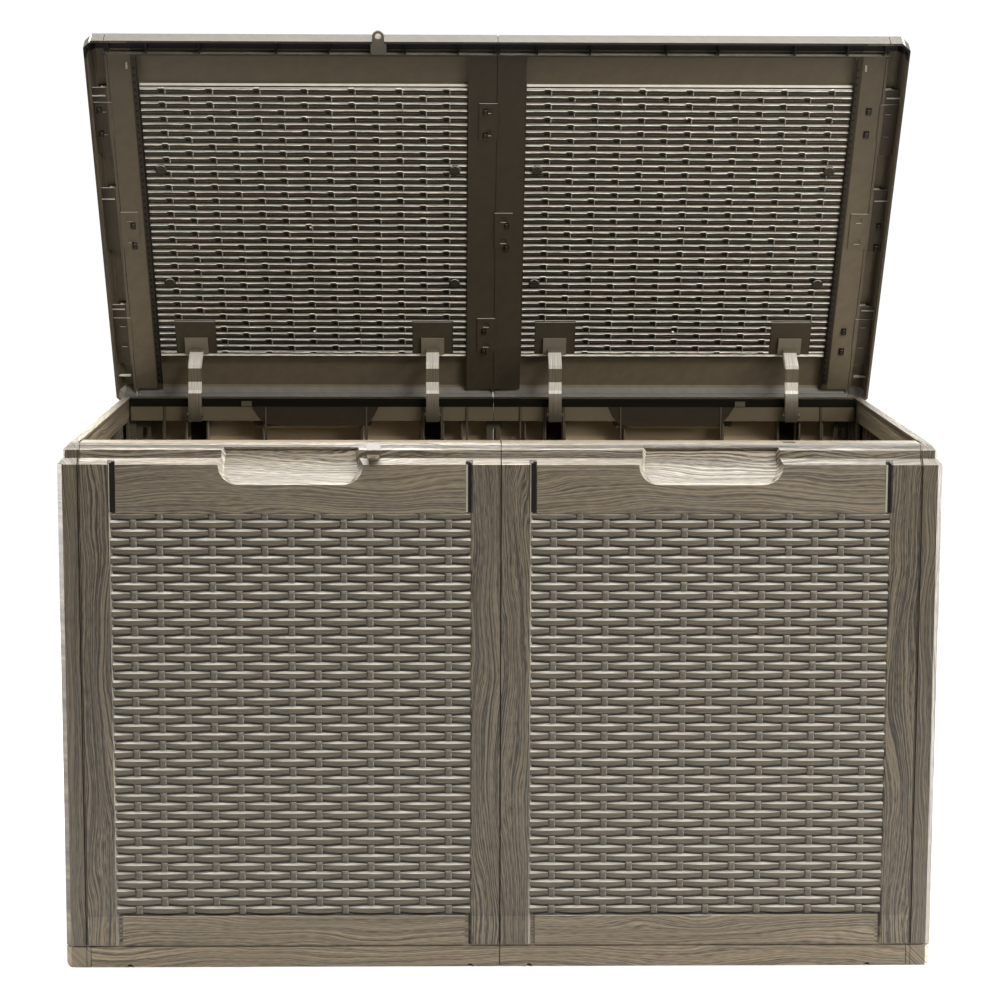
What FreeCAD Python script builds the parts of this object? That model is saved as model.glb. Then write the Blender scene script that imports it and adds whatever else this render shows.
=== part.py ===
import FreeCAD, Part
import os
import re
import Sketcher

# Outdoor storage chest of resin mouldings, two bays wide, with a hinged lid shown standing open.
# Millimetres, +Z up, +X to the right, the front faces -Y, the origin is on the floor under the middle.
# The lid's pieces are drawn closed, about the hinge axis, and stand turned open by lid_open_angle degrees.

os.makedirs("parts", exist_ok=True)
doc = FreeCAD.newDocument("StorageChest")
sheet = doc.addObject("Spreadsheet::Sheet", "Dims")

SIZES = [
    ("panel_pitch", 570, "width of one wall panel with its seam"),
    ("post_width", 30, "side of a corner post"),
    ("post_chamfer", 7, "flat on a corner post's outer edge"),
    ("seam", 0.8, "gap between neighbouring mouldings"),
    ("skin", 3.5, "wall of every moulding"),
    ("plate_thick", 7.5, "rails and stiles, front to back"),
    ("shoulder", 8, "slope from the face in to the rim band"),
    ("rim_top", 731, "top of the rim"),
    ("rim_edge", 9, "slope along the rim's outer edge"),
    ("band_height", 11, "upright band below that slope"),
    ("rim_long", 46, "depth of the front and rear rims"),
    ("rim_short", 28, "depth of the side rims"),
    ("rim_drop", 35, "height of the rim's inner flange"),
    ("weave_width", 491, "woven field between the stiles"),
    ("top_rail", 66, "height of the flat rail above the woven field"),
    ("bottom_rail", 40.5, "height of the rail below the woven field"),
    ("weave_depth", 4, "depth of the woven field"),
    ("weave_bevel_angle", 40, "slope of the woven field's border, degrees"),
    ("channel_width", 9, "upright channel between stile and rail"),
    ("channel_bevel", 3.5, "slope on the channel's stile side"),
    ("scoop_width", 196, "finger scoop across the face"),
    ("scoop_drop", 46.5, "scoop's lowest point below the rim band's top"),
    ("scoop_corner", 27, "rounding of the scoop's lower corners"),
    ("scoop_end_angle", 30, "lean of the scoop's ends, degrees"),
    ("rib_thick", 2.5, "ribs inside walls and lid"),
    ("rib_back", 2.5, "ribs stop short of the rim's flange"),
    ("rib_near", 78, "inner pair of ribs from a panel's middle"),
    ("rib_far", 235, "outer pair of ribs from a panel's middle"),
    ("base_height", 28.5, "skirt of the floor trays"),
    ("base_end_width", 34, "floor end piece along X"),
    ("base_round", 8, "rounded lower edge of the end pieces"),
    ("ledge_height", 3, "ledge under the walls, above the skirt"),
    ("ledge_inset", 2.5, "ledge under the walls, set back from the skirt"),
    ("ledge_width", 22, "ledge under the walls, front to back"),
    ("base_rib_pitch", 125, "ribs under the floor"),
    ("drain_radius", 4, "drain notches in the skirt"),
    ("drain_near", 41, "inner drain notch from the middle"),
    ("drain_far", 512, "outer drain notch from the middle"),
    ("rail_width", 28, "rail under the floor's middle seam"),
    ("rail_setback", 15, "rail's ends from the skirts"),
    ("bracket_foot", 60, "lower end of brackets and joint strips"),
    ("bracket_leg", 26, "leg of a corner bracket"),
    ("bracket_thick", 3.5, "wall of brackets and strips"),
    ("bracket_fit", 0.3, "gap between a bracket and what it holds"),
    ("slot_width", 7, "hand-hold slot in a bracket"),
    ("slot_height", 26, "height of that slot"),
    ("slot_below", 13, "slot's upper end below the top of its bracket"),
    ("strip_hal", 11, "half width of a joint strip"),
    ("hinge_back", 8, "hinge axis behind the rear face"),
    ("hinge_drop", 18, "hinge axis below the rim's top"),
    ("knuckle_radius", 6, "outside of the hinge knuckles"),
    ("lug_width", 24, "wall knuckle along the axis"),
    ("lug_drop", 27, "wall knuckle's web below the axis"),
    ("ear_width", 8, "lid knuckle along the axis"),
    ("ear_gap", 0.5, "end play between knuckles"),
    ("pin_radius", 2.5, "hinge pin"),
    ("pin_clear", 0.05, "running clearance round the hinge pin"),
    ("hinge_bay", 281.5, "middle hinge of a bay from the chest's middle"),
    ("hinge_pitch", 185.5, "spacing of the hinges in a bay"),
    ("lid_open_angle", 60, "angle of the open lid, degrees"),
    ("lid_gap", 1, "closed lid above the shoulder"),
    ("lid_height", 34, "lid from skirt foot to top"),
    ("lid_overhang", 12, "lid's front edge in front of the chest's face"),
    ("lid_inset", 3, "lid's ends inside the side walls' faces"),
    ("lid_chamfer", 12, "slope round the lid's top"),
    ("lid_corner", 12, "flat on the lid's front corners, in plan"),
    ("lid_corner_rear", 9, "flat on the lid's rear corners, in plan"),
    ("lid_end_width", 30, "lid end cap along X"),
    ("lid_web", 3, "walls where lid pieces meet"),
    ("lid_weave_width", 480, "lid's woven field between the stiles"),
    ("lid_weave_front", 86, "front edge to the woven field"),
    ("lid_weave_rear", 80, "rear edge to the woven field"),
    ("lid_weave_slope", 4.6, "slope from the field's underside up to the lid's"),
    ("tongue_rise", 4, "tongue in the lid's middle seam, above the stiles' face"),
    ("tongue_thick", 2.4, "height of that tongue"),
    ("tongue_reach", 2, "tongue into the other panel"),
    ("tongue_fit", 0.3, "room round the tongue"),
    ("lid_recess", 6, "depth of the lid's woven field"),
    ("lid_rows", 40, "strands across the lid's woven field"),
    ("strand_rise", 1.8, "strands above the floor of the lid's field"),
    ("strand_gap", 0.6, "half of the gap between two strands"),
    ("strand_bevel", 1.6, "slope along a strand's edges"),
    ("ridge_rise", 1.8, "ridges between the strands, under the lid"),
    ("ridge_half", 0.9, "half width of such a ridge at its root"),
    ("ridge_tip", 0.15, "half width of its tip"),
    ("frame_inset", 32, "front edge to the lid's inner wall"),
    ("frame_thick", 2.5, "lid's inner wall"),
    ("frame_clear", 1, "inner wall above the rim when closed"),
    ("stile_width", 42, "thick strips beside the lid's seams"),
    ("stile_clear", 2, "stiles and cap plates above the rim when closed"),
    ("stile_end", 12, "stiles stop short of the rear edge"),
    ("lid_rib_first", 38, "inner channel ribs from a lid panel's middle"),
    ("lid_rib_second", 149, "next channel ribs"),
    ("lid_rib_third", 226, "outer channel ribs"),
    ("cap_plate_front", 88, "first plate under a cap, from the front edge"),
    ("cap_plate_middle", 259, "second plate, from the front edge"),
    ("cap_plate_rear", 470, "third plate, from the front edge"),
    ("cap_plate_long", 110, "length of the plates under a cap"),
    ("stay_width", 20, "stay arm along X"),
    ("stay_thick", 12, "stay arm in side view"),
    ("stay_reach", 93, "arm's root in front of the hinge axis"),
    ("stay_drop", 23, "arm's bend below the hinge axis"),
    ("stay_radius", 72, "arm's hook about the hinge axis"),
    ("stay_start_angle", 35, "hook's first angle below level, degrees"),
    ("stay_finish_angle", 72, "hook's last angle below level, degrees"),
    ("stay_room", 7, "room each side of an arm in its channel"),
    ("stay_pin_angle", 65, "stop pin's angle below level, degrees"),
    ("stay_pin_radius", 3.5, "stop pin through the arm's end"),
    ("stay_pin_side", 3, "stop pin past each side of the arm"),
    ("pad_width", 62, "pad under the lid that carries an arm, along X"),
    ("pad_length", 60, "pad, front to back"),
    ("pad_thick", 1.5, "pad below the woven field"),
    ("clip_width", 36, "clip that holds an arm, along X"),
    ("clip_length", 18, "clip, front to back"),
    ("clip_thick", 3, "clip's plate"),
    ("snap_width", 27, "snap plate across a lid seam"),
    ("snap_length", 62, "snap plate, front to back"),
    ("snap_thick", 1.2, "snap plate"),
    ("snap_shift", 12.5, "snap plate beside its seam"),
    ("snap_window", 9, "square window in a snap plate"),
    ("snap_pitch", 38, "spacing of the two windows"),
    ("snap_front", 143, "first snap from the front edge"),
    ("snap_middle", 332, "second snap from the front edge"),
    ("snap_rear", 525, "third snap from the front edge"),
    ("lock_x", 173, "padlock eyes left of the middle"),
    ("eye_radius", 8.25, "outside of a padlock eye"),
    ("eye_hole", 4.5, "padlock hole"),
    ("eye_reach", 6, "padlock hole in front of the lid"),
    ("eye_thick", 3.5, "lid eye's plate"),
    ("eye_gap", 1, "closed lid's eye above the catch"),
    ("eye_block", 23, "lid eye's block in the channel, along X"),
    ("eye_post", 6, "lid eye's upright through the skirt, front to back"),
    ("catch_drop", 17.5, "underside of the catch's eye below the rim's top"),
    ("catch_thick", 2.5, "catch's eye"),
    ("catch_width", 19, "catch along X"),
    ("catch_skin", 1, "catch's cap over the rim"),
    ("catch_cap", 24, "catch's cap ends this far in from the face"),
    ("plug_x", 392, "blanking plug right of the middle"),
    ("plug_width", 16, "blanking plug along X"),
    ("plug_length", 12, "blanking plug, front to back"),
    ("plug_thick", 0.9, "blanking plug above the rim"),
    ("overlap", 1, "how far joined shapes of one moulding run into each other"),
]

for row, (alias, size, note) in enumerate(SIZES, start=1):
    sheet.set(f"A{row}", alias)
    sheet.set(f"B{row}", str(size))
    sheet.setAlias(f"B{row}", alias)
    sheet.set(f"C{row}", note)
doc.recompute()

ALIASES = re.compile(r"\b(" + "|".join(alias for alias, size, note in SIZES) + r")\b")

# Heights worked out from the sizes above.
HEIGHTS = {
    "band_top": "(rim_top - rim_edge)",
    "shoulder_z": "(band_top - band_height - shoulder)",
    "scoop_foot": "(band_top - scoop_drop)",
    "wall_foot": "(base_height + ledge_height)",
    "weave_high": "(shoulder_z - top_rail)",
    "weave_low": "(wall_foot + bottom_rail)",
    "hinge_z": "(rim_top - hinge_drop)",
    "catch_z": "(rim_top - catch_drop)",
}
HEIGHT_NAMES = re.compile(r"\b(" + "|".join(HEIGHTS) + r")\b")

# Places worked out from the sizes above.
HALF_X = "(panel_pitch + post_width)"
HALF_Y = "(panel_pitch / 2 + post_width)"
PANEL_HALF = "(panel_pitch / 2 - seam / 2)"
WEAVE_HALF = "(weave_width / 2)"
TRAY_OUTER = f"({HALF_X} - base_end_width - seam / 2)"
LID_WEAVE_HALF = "(lid_weave_width / 2)"
LID_FRONT = f"(-2 * {HALF_Y} - hinge_back - lid_overhang)"
LID_REAR = "(-hinge_back)"
LID_FOOT = "(shoulder_z + shoulder + lid_gap - hinge_z)"
LID_TOP = f"({LID_FOOT} + lid_height)"
LID_OUTER = f"({HALF_X} - lid_inset)"
LID_INNER = f"({LID_OUTER} - lid_end_width)"
LID_MIDDLE = f"({LID_INNER} / 2)"
LID_CEILING = f"({LID_TOP} - skin)"
STILE_FACE = "(rim_top + stile_clear - hinge_z)"
FRAME_FACE = "(rim_top + frame_clear - hinge_z)"
FIELD_FACE = f"({LID_TOP} - lid_recess - skin)"
PAD_FACE = f"({FIELD_FACE} - pad_thick)"
LID_FLOOR = f"({LID_TOP} - lid_recess)"
LID_ROWS_FRONT = f"({LID_FRONT} + lid_weave_front + skin)"
LID_ROWS_REAR = f"({LID_REAR} - lid_weave_rear - skin)"
LID_ROW = f"(({LID_ROWS_REAR} - {LID_ROWS_FRONT}) / lid_rows)"
MITRE = "(2 - sqrt(2))"
SLOT_FOOT = "(slot_height + slot_below)"


def spelled(expression):
    """The expression with its heights written out in sizes."""
    words = str(expression)
    while HEIGHT_NAMES.search(words):
        words = HEIGHT_NAMES.sub(lambda found: HEIGHTS[found.group(0)], words)
    return words


def bound(expression):
    """The expression with each size read from the sheet."""
    return ALIASES.sub(r"Dims.\1", spelled(expression))


def value(expression):
    return float(sheet.evalExpression(spelled(expression)))


def bind(thing, prop, expression):
    thing.setExpression(prop, bound(expression))


def shift(thing, place):
    for axis, expression in zip("xyz", place):
        bind(thing, f".Placement.Base.{axis}", expression)


def block(name, low, size):
    box = doc.addObject("Part::Box", name)
    shift(box, low)
    for prop, expression in zip(("Length", "Width", "Height"), size):
        bind(box, prop, expression)
    return box


def rod(name, place, axis, radius, length):
    """A cylinder from place along X, Y or Z."""
    cylinder = doc.addObject("Part::Cylinder", name)
    turns = {
        "X": FreeCAD.Rotation(FreeCAD.Vector(0, 1, 0), 90),
        "Y": FreeCAD.Rotation(FreeCAD.Vector(1, 0, 0), -90),
        "Z": FreeCAD.Rotation(),
    }
    cylinder.Placement = FreeCAD.Placement(FreeCAD.Vector(), turns[axis])
    shift(cylinder, place)
    bind(cylinder, "Radius", radius)
    bind(cylinder, "Height", length)
    return cylinder


def arc_centre(start, end, radius, turn):
    """Centre of the short arc from start to end; turn is 1 for anticlockwise and -1 for clockwise."""
    chord = end - start
    rise = max(radius ** 2 - chord.Length ** 2 / 4, 0) ** 0.5
    side = FreeCAD.Vector(-chord.y, chord.x, 0).normalize()
    return (start + end) / 2 + side * rise * turn


def draw(sketch, outline):
    """A closed outline. Each corner is (x, y), or (x, y, radius, turn) where an arc arrives at it."""
    corners = [FreeCAD.Vector(value(corner[0]), value(corner[1]), 0) for corner in outline]
    ends = []
    for index, start in enumerate(corners):
        following = (index + 1) % len(corners)
        end = corners[following]
        arc = outline[following][2:]
        if arc:
            radius = value(arc[0])
            centre = arc_centre(start, end, radius, arc[1])
            first, last = (start, end) if arc[1] > 0 else (end, start)
            angles = [
                FreeCAD.Vector(1, 0, 0).getAngle(point - centre) * (1 if point.y >= centre.y else -1)
                for point in (first, last)
            ]
            round_edge = Part.Circle(centre, FreeCAD.Vector(0, 0, 1), radius)
            sketch.addGeometry(Part.ArcOfCircle(round_edge, angles[0], angles[1]))
            ends.append((1, 2) if arc[1] > 0 else (2, 1))
        else:
            sketch.addGeometry(Part.LineSegment(start, end))
            ends.append((1, 2))
    for index, corner in enumerate(outline):
        following = (index + 1) % len(corners)
        sketch.addConstraint(
            Sketcher.Constraint("Coincident", index, ends[index][1], following, ends[following][0])
        )
        for kind, expression, size in zip(("DistanceX", "DistanceY"), corner[:2], corners[index][:2]):
            number = sketch.addConstraint(
                Sketcher.Constraint(kind, -1, 1, index, ends[index][0], size)
            )
            sketch.setExpression(f"Constraints[{number}]", bound(expression))
        arc = outline[following][2:]
        if arc:
            number = sketch.addConstraint(Sketcher.Constraint("Radius", index, value(arc[0])))
            sketch.setExpression(f"Constraints[{number}]", bound(arc[0]))


def prism(name, plane, outline, length, start=("0", "0", "0"), taper=None):
    """A body padded from an outline on one of its own planes, towards +X, +Y or +Z."""
    body = doc.addObject("PartDesign::Body", name)
    sketch = body.newObject("Sketcher::SketchObject", f"{name}_outline")
    for feature in body.Origin.OriginFeatures:
        if feature.Role == f"{plane}_Plane":
            sketch.AttachmentSupport = [(feature, "")]
    sketch.MapMode = "FlatFace"
    draw(sketch, outline)
    pad = body.newObject("PartDesign::Pad", f"{name}_pad")
    pad.Profile = sketch
    pad.Reversed = plane == "XZ"
    bind(pad, "Length", length)
    if taper:
        bind(pad, "TaperAngle", taper)
    sketch.Visibility = False
    shift(body, start)
    return body


def rows(name, outline, length, start, pitch, count):
    """The same bar count times, pitch apart towards +Y."""
    body = prism(name, "YZ", outline, length, start)
    repeat = body.newObject("PartDesign::LinearPattern", f"{name}_rows")
    repeat.Originals = [body.Group[1]]
    for feature in body.Origin.OriginFeatures:
        if feature.Role == "Y_Axis":
            repeat.Direction = (feature, [""])
    bind(repeat, "Length", f"{pitch} * ({count} - 1)")
    bind(repeat, "Occurrences", count)
    body.Tip = repeat
    return body


def join(name, pieces):
    if len(pieces) == 1:
        return pieces[0]
    union = doc.addObject("Part::MultiFuse", name)
    union.Shapes = pieces
    return union


def carve(name, base, tools):
    result = doc.addObject("Part::Cut", name)
    result.Base = base
    result.Tool = join(f"{name}_tools", tools)
    return result


def common(name, pieces):
    result = doc.addObject("Part::MultiCommon", name)
    result.Shapes = pieces
    return result


def group(name, pieces):
    result = doc.addObject("Part::Compound", name)
    result.Links = pieces
    return result


PARTS = []


def keep(thing, label, place=("0", "0", "0"), turn=0):
    """Names a finished sub-part and stands it in its place, turned about Z."""
    thing.Label = label
    thing.Placement = FreeCAD.Placement(FreeCAD.Vector(), FreeCAD.Rotation(FreeCAD.Vector(0, 0, 1), turn))
    shift(thing, place)
    PARTS.append(thing)


def keep_on_lid(thing, label):
    """Names a finished sub-part of the lid and turns it open about the hinge axis."""
    thing.Label = label
    thing.Placement = FreeCAD.Placement(FreeCAD.Vector(), FreeCAD.Rotation(FreeCAD.Vector(-1, 0, 0), 1))
    bind(thing, ".Placement.Rotation.Angle", "lid_open_angle")
    shift(thing, ("0", f"{HALF_Y} + hinge_back", "hinge_z"))
    PARTS.append(thing)


# Walls. A panel is drawn about its own middle: x across, y inwards from its outer face.


def rim_outline(depth):
    """Section of the wall and its turned-over rim."""
    return [
        ("0", "wall_foot"),
        ("0", "shoulder_z"),
        ("shoulder", "shoulder_z + shoulder"),
        ("shoulder", "band_top"),
        ("shoulder + rim_edge", "rim_top"),
        (depth, "rim_top"),
        (depth, "rim_top - rim_drop"),
        (f"{depth} - skin", "rim_top - rim_drop"),
        (f"{depth} - skin", "rim_top - skin"),
        ("shoulder + rim_edge + skin * (sqrt(2) - 1)", "rim_top - skin"),
        ("shoulder + skin", "band_top - skin * (sqrt(2) - 1)"),
        ("shoulder + skin", "shoulder_z + shoulder - skin * (sqrt(2) - 1)"),
        ("plate_thick", "shoulder_z + plate_thick - skin * sqrt(2)"),
        ("plate_thick", "wall_foot"),
    ]


def flange_outline(depth):
    """Section of the upright flange at a panel's end, which runs up inside the rim."""
    return [
        ("plate_thick - overlap", "wall_foot"),
        (depth, "wall_foot"),
        (depth, "rim_top - skin / 2"),
        ("shoulder + rim_edge + skin", "rim_top - skin / 2"),
        ("shoulder + skin / 2", "band_top - overlap"),
        ("shoulder + skin / 2", "shoulder_z + shoulder"),
        ("plate_thick - overlap", "shoulder_z"),
    ]


def wall_envelope(name, length, start=("0", "0", "0")):
    """Everything behind a wall's outer face and the stepped face of its rim."""
    return prism(
        name,
        "YZ",
        [
            ("0", "wall_foot"),
            ("0", "shoulder_z"),
            ("shoulder", "shoulder_z + shoulder"),
            ("shoulder", "band_top"),
            ("shoulder + rim_edge", "rim_top"),
            ("2 * post_width", "rim_top"),
            ("2 * post_width", "wall_foot"),
        ],
        length,
        start,
    )


def scoop_form(name, grow):
    """The finger scoop's hollow, or with grow the moulding behind it: a cove with leaning ends."""
    run = f"(shoulder + rim_edge + {grow})"
    foot = f"(scoop_foot - {grow} * sqrt(2))"
    cove_radius = f"((band_top - {foot})^2 + {run}^2) / (2 * {run})"
    half = f"(scoop_width / 2 + {grow})"
    corner = "scoop_corner"
    ceiling = f"(rim_top + overlap * (1 - 2 * {grow} / skin))"
    face = prism(
        f"{name}_face",
        "XZ",
        [
            (f"-{half}", ceiling),
            (f"-{half}", f"{foot} + {corner}"),
            (f"-{half} + {corner}", foot, corner, 1),
            (f"{half} - {corner}", foot),
            (half, f"{foot} + {corner}", corner, 1),
            (half, ceiling),
        ],
        f"{run} + overlap",
        taper="-scoop_end_angle",
    )
    cove = prism(
        f"{name}_cove",
        "YZ",
        [
            ("-overlap", foot),
            ("0", foot),
            (run, "band_top", cove_radius, 1),
            (run, ceiling),
            ("-overlap", ceiling),
        ],
        "scoop_width + 4 * skin",
        ("-scoop_width / 2 - 2 * skin", "0", "0"),
    )
    if grow == "0":
        return common(name, [face, cove])
    start = (f"-{half} - overlap", "0", "0")
    behind = wall_envelope(f"{name}_envelope", f"2 * {half} + 2 * overlap", start)
    return common(name, [face, cove, behind])


def stile_channel(name, side):
    """Upright channel that parts a stile from the rails, sloped on the stile's side."""
    outer = f"{side} * {WEAVE_HALF}"
    inner = f"{side} * ({WEAVE_HALF} - channel_width)"
    foot = f"{side} * ({WEAVE_HALF} - channel_bevel)"
    spread = f"{side} * ({WEAVE_HALF} + overlap * channel_bevel / weave_depth)"
    return prism(
        name,
        "XY",
        [
            (inner, "-overlap"),
            (spread, "-overlap"),
            (outer, "0"),
            (foot, "weave_depth"),
            (inner, "weave_depth"),
        ],
        "shoulder_z + weave_depth - wall_foot + overlap",
        ("0", "0", "wall_foot - overlap"),
    )


def wall_rib(name, middle, depth):
    return block(
        name,
        (f"{middle} - rib_thick / 2", "plate_thick - overlap", "wall_foot"),
        ("rib_thick", f"{depth} - plate_thick + overlap", "shoulder_z - wall_foot"),
    )


def wall_knuckle(name, middle, root):
    """Hinge lug behind a rear panel, with its web down the wall or, at the scoop, into the cove."""
    barrel = rod(
        f"{name}_barrel",
        (f"{middle} - lug_width / 2", "-hinge_back", "hinge_z"),
        "X",
        "knuckle_radius",
        "lug_width",
    )
    web = prism(
        f"{name}_web",
        "YZ",
        [
            (root, "hinge_z - lug_drop"),
            (root, "shoulder_z"),
            ("-hinge_back + knuckle_radius * cos(30)", "hinge_z - knuckle_radius / 2"),
            ("-hinge_back", "hinge_z"),
            ("-hinge_back - knuckle_radius", "hinge_z"),
            ("-hinge_back - knuckle_radius", "hinge_z - 2 * knuckle_radius"),
        ],
        "lug_width",
        (f"{middle} - lug_width / 2", "0", "0"),
    )
    return [barrel, web]


def hinge_places(side):
    """The three hinges of one bay, along the chest's X: arm, middle, arm."""
    return [f"{side} * (hinge_bay + {step} * hinge_pitch)" for step in (-1, 0, 1)]


def arm_places(side):
    return [place for place in hinge_places(side) if " 0 * " not in place]


def wall_panel(label, place, turn, rim, edge, bay=None):
    """One wall moulding. bay is -1 or 1 on a rear panel, which carries hinge lugs, and None elsewhere."""
    ribs_depth = f"{rim} - skin - rib_back"
    centre = f"({bay} * panel_pitch / 2)"
    if bay is None:
        arms = ["-hinge_pitch", "hinge_pitch"]
    else:
        arms = [f"({centre} - {arm})" for arm in arm_places(bay)]
    rib_places = ["-rib_far", "-rib_near", "rib_near", "rib_far"]
    for arm in arms:
        rib_places += [f"{arm} - stay_width / 2 - stay_room", f"{arm} + stay_width / 2 + stay_room"]
    low = f"-{PANEL_HALF}"
    shell = prism(f"{label}_shell", "YZ", rim_outline(rim), f"2 * {PANEL_HALF}", (low, "0", "0"))
    solid = [shell, scoop_form(f"{label}_scoop_back", "skin")]
    for name, start in (("low", low), ("high", f"{PANEL_HALF} - skin")):
        flange = prism(f"{label}_flange_{name}", "YZ", flange_outline(edge), "skin", (start, "0", "0"))
        solid.append(flange)
    for number, middle in enumerate(rib_places):
        solid.append(wall_rib(f"{label}_rib_{number}", middle, ribs_depth))
    hollow = [
        scoop_form(f"{label}_scoop", "0"),
        stile_channel(f"{label}_channel_low", -1),
        stile_channel(f"{label}_channel_high", 1),
        prism(
            f"{label}_field",
            "XZ",
            [
                (f"-{WEAVE_HALF}", "weave_low"),
                (WEAVE_HALF, "weave_low"),
                (WEAVE_HALF, "weave_high"),
                (f"-{WEAVE_HALF}", "weave_high"),
            ],
            "weave_depth",
            taper="-weave_bevel_angle",
        ),
    ]
    panel = carve(f"{label}_moulding", join(f"{label}_solid", solid), hollow)
    if bay is not None:
        panel = hinged(label, panel, [f"({centre} - {hinge})" for hinge in hinge_places(bay)])
    keep(panel, label, place, turn)


def hinged(label, panel, middles):
    """A rear panel with its three hinge lugs; the middle one is rooted in the scoop's cove."""
    lugs = []
    bores = []
    for number, middle in enumerate(middles):
        root = "shoulder + rim_edge" if number == 1 else "overlap"
        lugs += wall_knuckle(f"{label}_lug_{number}", middle, root)
        bores.append(
            rod(
                f"{label}_bore_{number}",
                (f"{middle} - lug_width / 2 - overlap", "-hinge_back", "hinge_z"),
                "X",
                "pin_radius + pin_clear",
                "lug_width + 2 * overlap",
            )
        )
    return carve(f"{label}_hinged", join(f"{label}_lugs", [panel] + lugs), bores)


def corner_post(label, place, turn):
    """A hollow post whose head carries the rim round the corner."""
    width = "(post_width - seam / 2)"
    plan = prism(
        f"{label}_plan",
        "XY",
        [
            ("post_chamfer", "0"),
            (width, "0"),
            (width, width),
            ("0", width),
            ("0", "post_chamfer"),
        ],
        "rim_top - wall_foot",
        ("0", "0", "wall_foot"),
    )
    heads = []
    for name, angle in (("front", 0), ("side", -90), ("corner", -45)):
        head = wall_envelope(f"{label}_head_{name}", "4 * post_width")
        head.Placement = FreeCAD.Placement(
            FreeCAD.Vector(), FreeCAD.Rotation(FreeCAD.Vector(0, 0, 1), angle)
        )
        heads.append(head)
    shift(heads[0], ("-2 * post_width", "0", "0"))
    shift(heads[1], ("0", "2 * post_width", "0"))
    reach = "sqrt(2) * post_width"
    shift(heads[2], (f"post_chamfer / 2 - {reach}", f"post_chamfer / 2 + {reach}", "0"))
    core = block(
        f"{label}_core",
        ("skin", "skin", "wall_foot - overlap"),
        (f"{width} - 2 * skin", f"{width} - 2 * skin", "shoulder_z - skin - wall_foot"),
    )
    corner = prism(
        f"{label}_core_corner",
        "XY",
        [
            ("skin - overlap", "skin - overlap"),
            (f"post_chamfer + {MITRE} * skin + overlap", "skin - overlap"),
            ("skin - overlap", f"post_chamfer + {MITRE} * skin + overlap"),
        ],
        "rim_top",
    )
    hollow = doc.addObject("Part::Cut", f"{label}_hollow")
    hollow.Base = core
    hollow.Tool = corner
    outside = common(f"{label}_outside", [plan] + heads)
    keep(carve(f"{label}_post", outside, [hollow]), label, place, turn)


for side_name, side in (("left", -1), ("right", 1)):
    middle = f"{side} * panel_pitch / 2"
    wall_panel(f"front_panel_{side_name}", (middle, f"-{HALF_Y}", "0"), 0, "rim_long", "post_width")
    wall_panel(f"rear_panel_{side_name}", (middle, HALF_Y, "0"), 180, "rim_long", "post_width", side)
    outer = f"{side} * {HALF_X}"
    wall_panel(f"side_panel_{side_name}", (outer, "0", "0"), 90 * side, "rim_short", "rim_short")

corner_post("corner_post_front_left", (f"-{HALF_X}", f"-{HALF_Y}", "0"), 0)
corner_post("corner_post_front_right", (HALF_X, f"-{HALF_Y}", "0"), 90)
corner_post("corner_post_rear_right", (HALF_X, HALF_Y, "0"), 180)
corner_post("corner_post_rear_left", (f"-{HALF_X}", HALF_Y, "0"), -90)


# Brackets inside the corners, and strips over the middle seams, drawn like the posts and panels they serve.


def corner_bracket(label, place, turn, long_first):
    """A stepped angle inside a corner; one leg lies by a long wall's flange, the other by a side wall's."""
    top = "(rim_top - rim_drop - bracket_fit)"
    height = f"{top} - bracket_foot"
    face = "(post_width + seam / 2 + skin + bracket_fit)"
    long_leg = block(
        f"{label}_long_leg",
        (face, "post_width - bracket_thick", "bracket_foot"),
        ("bracket_leg", "bracket_thick", height),
    )
    corner = block(
        f"{label}_corner",
        ("rim_short + bracket_fit", "post_width + bracket_fit", "bracket_foot"),
        (
            f"{face} + bracket_thick - rim_short - bracket_fit",
            f"{face} + bracket_thick - post_width - bracket_fit",
            height,
        ),
    )
    short_leg = block(
        f"{label}_short_leg",
        ("rim_short - bracket_thick", face, "bracket_foot"),
        ("bracket_thick", "bracket_leg", height),
    )
    step = block(
        f"{label}_step",
        (face, "post_width - bracket_thick", "bracket_foot"),
        ("bracket_thick", "2 * bracket_thick", height),
    )
    short_step = block(
        f"{label}_short_step",
        ("rim_short - bracket_thick", face, "bracket_foot"),
        ("2 * bracket_thick", "bracket_thick", height),
    )
    slot = block(
        f"{label}_slot",
        (f"{face} + bracket_leg / 2", "post_width - bracket_thick - overlap", f"{top} - {SLOT_FOOT}"),
        ("slot_width", "bracket_thick + 2 * overlap", "slot_height"),
    )
    angle = join(f"{label}_angle", [long_leg, step, corner, short_step, short_leg])
    bracket = carve(f"{label}_bracket", angle, [slot])
    if not long_first:
        flipped = doc.addObject("Part::Mirroring", f"{label}_flipped")
        flipped.Source = bracket
        flipped.Normal = FreeCAD.Vector(1, 0, 0)
        bracket = flipped
    keep(bracket, label, place, turn)


corner_bracket("corner_bracket_front_left", (f"-{HALF_X}", f"-{HALF_Y}", "0"), 0, True)
corner_bracket("corner_bracket_front_right", (HALF_X, f"-{HALF_Y}", "0"), 0, False)
corner_bracket("corner_bracket_rear_right", (HALF_X, HALF_Y, "0"), 180, True)
corner_bracket("corner_bracket_rear_left", (f"-{HALF_X}", HALF_Y, "0"), 180, False)


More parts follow.
